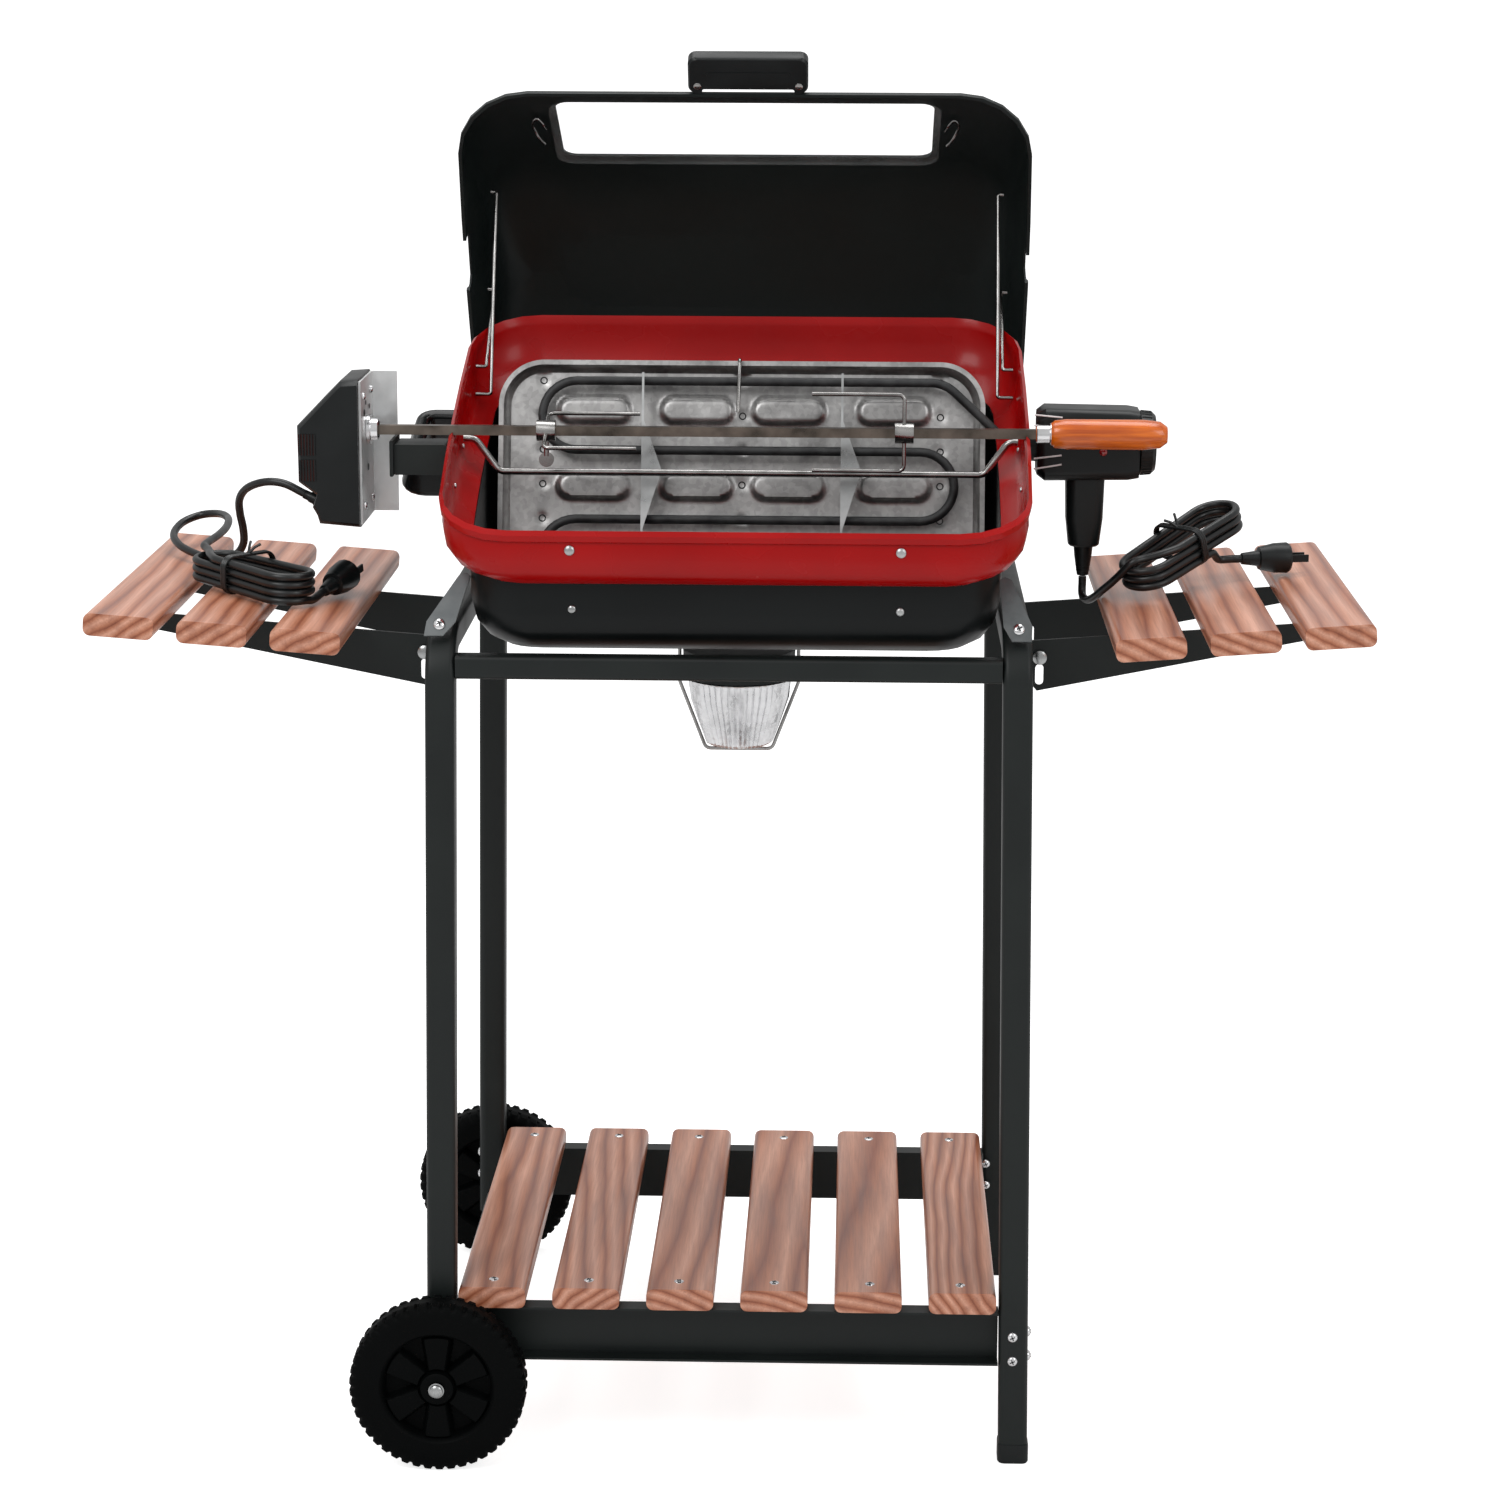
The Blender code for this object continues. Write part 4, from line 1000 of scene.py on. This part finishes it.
def grease_cup():
    """A pleated foil cup under the drain hole, with a rolled and slightly uneven lip, and a black band of
    painted shade round its top.
    """
    pleats = 44
    steps = pleats * 6
    outside = [(603.2, 8, 0.0), (603, 25.5, 0.3), (605.5, 28.6, 1), (625, 35.5, 1)]
    outside += [(645, 42, 1), (658, 43.7, 0.8)]
    lip = [(662, 44.6, 0.4), (663.2, 45.6, 0.2), (662.4, 46.8, 0.2), (661.4, 46.2, 0.2), (661.6, 44.4, 0.3)]
    inside = [(658, 42.6, 0.8), (645, 40.9, 1), (625, 34.4, 1), (606, 27.6, 1)]
    inside += [(604.4, 24.5, 0.3), (604.4, 8, 0)]
    rings = []
    for height, radius, depth in outside + lip + inside:
        ring = []
        for i in range(steps):
            angle = 2 * math.pi * i / steps
            fold = abs((angle * pleats / (2 * math.pi)) % 1 - 0.5) * 4 - 1
            wander = 0.5 * math.sin(angle * 7 + 1.3) + 0.35 * math.sin(angle * 13 + height * 0.05)
            r = radius + depth * (1.1 * fold + wander)
            ring.append(Vector((BOWL_X + math.cos(angle) * r, math.sin(angle) * r, height)))
        rings.append(ring)
    obj = piece("pleated_foil_cup", skin(bmesh.new(), rings), "foil", "cart", angle=25)
    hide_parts("grease_cup")
    # A black band above the cup's lip: painted shade where the bowl shades the cup's upper edge.
    shade_band = bmesh.new()
    turned(shade_band, [(0, 46.6), (0, 48.2), (24, 49.2), (24, 47.6)], (BOWL_X, 0, 664), (0, 0, 1), 48)
    piece("cup_top_shade_band", shade_band, "powder", "cart")


# ---------------------------------------------------------------- screws, rivets and straps


def domed(bm, place, axis, radius, height):
    """A domed rivet or screw head."""
    shares = [(0.35, 0.97), (0.75, 0.75), (0.95, 0.4), (1, 0.08)]
    crown = [(height * rise, radius * width) for rise, width in shares]
    turned(bm, [(-0.6, radius * 0.9), (0, radius), *crown], place, axis, 20)


def cross_screw(bm, recess_shade, place, axis, radius, height, lean=0.4):
    """A domed head in one bmesh and a dark cross of painted shade for its recess in another."""
    domed(bm, place, axis, radius, height)
    first, second, along = axes_of(axis)
    centre = Vector(place) + along * (height + 0.05)
    one = first * math.cos(lean) + second * math.sin(lean)
    two = along.cross(one)
    # The dark cross is painted shade standing in for the recess.
    for a, b in ((one, two), (two, one)):
        arm, width = a * radius * 0.5, b * radius * 0.11
        corners = [centre + arm + width, centre - arm + width, centre - arm - width, centre + arm - width]
        slab(recess_shade, corners, 0.12, along)


def leg_x(z):
    """Half the distance between the two leg frames at the height z."""
    return LEG_HALF_FOOT - LEG_SPREAD * z / LEG_TOP


def fasteners():
    """Screw heads on the legs and the slats, and rivets on the bowl and at the shelf pivots."""
    heads, recess_shade, rivets = bmesh.new(), bmesh.new(), bmesh.new()
    for z in (118, 96):
        for y in (LEG_FRONT_Y, LEG_REAR_Y):
            cross_screw(heads, recess_shade, (leg_x(z) + 12.6, y, z), (1, 0, 0), 4.6, 2.6)
            cross_screw(heads, recess_shade, (-leg_x(z) - 12.6, y, z), (-1, 0, 0), 4.6, 2.6)
        cross_screw(heads, recess_shade, (leg_x(z) - 1, -166.6, z - 1), (0, -1, 0), 4.6, 2.6)
        cross_screw(heads, recess_shade, (leg_x(z) - 9, 285.4, z), (0, -1, 0), 4.2, 2.4)
    for i in range(1, 7):
        low, high = low_high(f"bottom_slat_{i}")
        for share in (0.045, 0.945):
            y = low.y + (high.y - low.y) * share
            z = high.z - (high.z - low.z - 19) * share
            x = (low.x + high.x) / 2 + 1.5 * (i % 3 - 1)
            cross_screw(heads, recess_shade, (x, y, z), (0, 0, 1), 4.3, 1.5, 0.3 * i)
    for x in (-130, 142):
        domed(rivets, (x, -182.8, 804), (0, -1, 0), 4.2, 2)
        domed(rivets, (x, -161.2, 751), (0, -1, 0), 3.6, 1.8)
    piece("screw_heads", heads, "chrome", "cart")
    # Dark crosses on the screw heads: painted shade in their recesses.
    piece("screw_recess_shade", recess_shade, "element", "cart")
    piece("bowl_rivets", rivets, "zinc", "cart")
    for name, side in (("left", -1), ("right", 1)):
        pivots = bmesh.new()
        for y, outward in ((-83.2, -1), (100.2, 1)):
            domed(pivots, (side * 262, y, 698), (0, outward, 0), 6.2, 2.2)
        piece(f"shelf_pivot_rivets_{name}", pivots, "zinc", f"shelf_{name}")


def straps():
    """Grey straps that hold the bowl: from each leg top's screw up to the bowl's corner, tapering upwards."""
    bm, heads, recess_shade = bmesh.new(), bmesh.new(), bmesh.new()
    for side in (-1, 1):
        for y, toward in ((-150, 1), (299, -1)):
            foot = Vector((side * 240, y, 737))
            head = Vector((BOWL_X + side * 226, y + toward * 22, 772))
            run = (head - foot).normalized()
            across = Vector((1, 0, 0))
            normal = across.cross(run).normalized() * toward
            corners = [foot - run * 14 - across * 8, foot - run * 14 + across * 8, foot + across * 12]
            corners += [head + across * 5, head + run * 3, head - across * 5, foot - across * 12]
            slab(bm, corners, 2, normal)
            cross_screw(heads, recess_shade, foot - run * 3 + normal * (2 if normal.z > 0 else 0), normal, 5.2, 3)
    piece("bowl_straps", bm, "strap", "cart")
    piece("strap_screws", heads, "chrome", "cart")
    # Dark crosses on the strap screws: painted shade in their recesses.
    piece("strap_recess_shade", recess_shade, "element", "cart")


def foot_caps():
    """Moulded caps on the two right feet."""
    bm = bmesh.new()
    for y in (LEG_FRONT_Y, LEG_REAR_Y):
        rings = []
        for z, grow in ((0.4, -1.2), (1.6, 0.9), (16, 0.9), (17.5, 0.4)):
            half = 12.5 + grow
            ring = [Vector((leg_x(9) + x, y + d, z)) for x, d in rounded_outline(half, half, 5 + grow)]
            rings.append(ring)
        skin(bm, rings)
    piece("foot_caps", bm, "plastic", "cart")


# ---------------------------------------------------------------- motor, controller, lid and spit

GRIP_X = 304
CONTROLLER_Y = 36
DIAL_Z = 866
LID_SLOPE = math.radians(60)
LID_REAR_EDGE = Vector((BOWL_X, 278, 814))

def motor_details():
    """Louvres on the motor's front with dark sheets of painted shade in their gaps, and the screws, boss,
    cord gland and dark discs of painted shade in the holes round its plate.
    """
    louvres, dark, bright = bmesh.new(), bmesh.new(), bmesh.new()
    for column in range(6):
        x = -369 + 2.5 * column
        for low, high in ((842, 860), (864, 882)):
            corners = [(x, -66.2, low), (x + 1.1, -66.2, low), (x + 1.1, -66.2, high), (x, -66.2, high)]
            # Thin dark sheets in the louvre gaps: painted shade inside the openings.
            slab(dark, corners, 0.4, (0, -1, 0))
            ridge = [(a + 1.1, b, c) for a, b, c in corners]
            slab(louvres, ridge, 1.1, (0, -1, 0))
    piece("motor_louvres", louvres, "plastic", "cart")
    piece("motor_louvre_gap_shade", dark, "vent_shade", "cart")
    face = -315.3
    for y, z, radius in ((-46, 912, 3.4), (4, 912, 3.4), (-46, 818, 3.4), (4, 818, 3.4)):
        domed(bright, (face, y, z), (1, 0, 0), radius, 2.2)
    boss = [(0, 13), (3, 13), (3.4, 10), (9, 9.4), (9.6, 7.2), (0, 7.2)]
    turned(bright, boss, (face, SPIT_Y, SPIT_Z), (1, 0, 0), 28)
    piece("motor_plate_screws", bright, "chrome", "cart")
    # Dark discs in the plate's holes: painted shade seen through them.
    hole_shade = bmesh.new()
    for y, z, radius in ((-40, 897, 3.2), (-31, 905, 2.2), (-8, 899, 2.2), (-20, 848, 3)):
        turned(hole_shade, [(0.02, radius), (0.35, radius), (0.35, radius * 0.2)], (face, y, z), (1, 0, 0), 16)
    piece("motor_plate_hole_shade", hole_shade, "element", "cart")
    gland = bmesh.new()
    stepped = [(0, 5.8), (5, 5.6), (6, 4.9), (10, 4.8), (11, 4.1), (16, 3.9)]
    turned(gland, stepped, (-357, SPIT_Y, 817), (-0.9, 0, 0.43), 20)
    piece("motor_cord_gland", gland, "plastic", "cart")


def controller_details():
    """Raised ribs, a ruby lamp, flutes round the grip, rings on the cord's relief and a knurled dial."""
    ribs, lamp = bmesh.new(), bmesh.new()
    for z, rise in ((884, -3), (893, -2.2), (846, 4), (855, 3)):
        start, end = Vector((258, 9.5, z)), Vector((282, 9.5, z + rise))
        tube(ribs, [start, start.lerp(end, 0.5) - Vector((0, 0.3, 0)), end], 0.75, 8)
    piece("controller_ribs", ribs, "paper", "cart")
    turned(lamp, [(-1, 3.6), (0.6, 3.6), (1.8, 2.9), (2.6, 1.4), (2.8, 0.3)], (318, 10, 861), (0, -1, 0), 20)
    piece("controller_lamp", lamp, "lamp", "cart")
    grip = bmesh.new()
    reach = 12.8
    for angle in range(0, 360, 30):
        dx, dy = math.cos(math.radians(angle)), math.sin(math.radians(angle))
        top = Vector((GRIP_X + dx * (reach + 2.6), CONTROLLER_Y + dy * (reach + 2.6), 826))
        low = Vector((GRIP_X + dx * reach, CONTROLLER_Y + dy * reach, 782))
        tube(grip, [top, top.lerp(low, 0.5), low], 1.1, 8)
    piece("controller_grip_flutes", grip, "plastic", "cart")
    rings = bmesh.new()
    for i in range(4):
        profile = [(0, 4.6), (0.6, 7.6 - 0.55 * i), (2.2, 7.6 - 0.55 * i), (2.8, 4.6)]
        turned(rings, profile, (GRIP_X, CONTROLLER_Y, 769 - 4.6 * i), (0, 0, -1), 24)
    piece("relief_rings", rings, "plastic", "cart")
    knurls = bmesh.new()
    for i in range(36):
        angle = 2 * math.pi * i / 36
        dy, dz = math.cos(angle), math.sin(angle)
        start = Vector((351.5, CONTROLLER_Y + dy * 27.6, DIAL_Z + dz * 27.6))
        end = Vector((360.5, CONTROLLER_Y + dy * 26.8, DIAL_Z + dz * 26.8))
        tube(knurls, [start, end], 0.9, 6)
    piece("dial_knurls", knurls, "plastic", "controller_dial")


def lid_point(x, along, up):
    """A point of the open lid: along from the rear edge towards the handle, up through the dome."""
    forward = Vector((0, -math.cos(LID_SLOPE), math.sin(LID_SLOPE)))
    outward = Vector((0, math.sin(LID_SLOPE), math.cos(LID_SLOPE)))
    return LID_REAR_EDGE + Vector((x, 0, 0)) + forward * along + outward * up


def lid_details():
    """Spring clips that hold the window, a blank label on the handle and the handle's two screws."""
    clips, label, heads = bmesh.new(), bmesh.new(), bmesh.new()
    bends = [(0, 0, -2), (3, 8, -6), (8, 14, -7), (12, 8, -6), (10, 0, -5), (6, -8, -6), (2, -14, -5)]
    for side in (-1, 1):
        path = [lid_point(side * (176 + a), 342 + b, 36 + c) for a, b, c in bends]
        path, _ = smooth_path(path, 1.5)
        tube(clips, path, 1.2, 8)
    piece("window_clips", clips, "nickel", "lid")
    outline = rounded_outline(36, 6.5, 2.5)
    skin(label, [[lid_point(4 + x, 416 + d, up) for x, d in outline] for up in (-0.55, -0.1)])
    piece("handle_label_panel", label, "plastic", "lid")
    for x in (-40, 48):
        domed(heads, lid_point(x, 409, -0.3), lid_point(0, 0, 0) - lid_point(0, 0, 1), 3.4, 1.6)
    piece("handle_screws", heads, "nickel", "lid")


def spit_details():
    """The steel ferrule of the wooden handle and small rivets on the bowl's walls."""
    ferrule = bmesh.new()
    profile = [(0, 6.8), (0.6, 7.6), (11, 7.6), (11.6, 9.2), (13.2, 9.4), (13.8, 7.0)]
    turned(ferrule, profile, (258.5, SPIT_Y, SPIT_Z), (1, 0, 0), 28)
    piece("handle_ferrule", ferrule, "chrome", "spit")
    rivets = bmesh.new()
    for y, z in ((-60, 838), (10, 862)):
        domed(rivets, (BOWL_X - 240.5, y, z), (1, 0, 0), 2.6, 1.4)
        domed(rivets, (BOWL_X + 240.5, y, z), (-1, 0, 0), 2.6, 1.4)
    piece("wall_rivets", rivets, "chrome", "cart")


make_camera()
make_studio()
make_cords()
dress_nodes()
reflector_pan()
wheels()
grease_cup()
fasteners()
straps()
foot_caps()
motor_details()
controller_details()
lid_details()
spit_details()
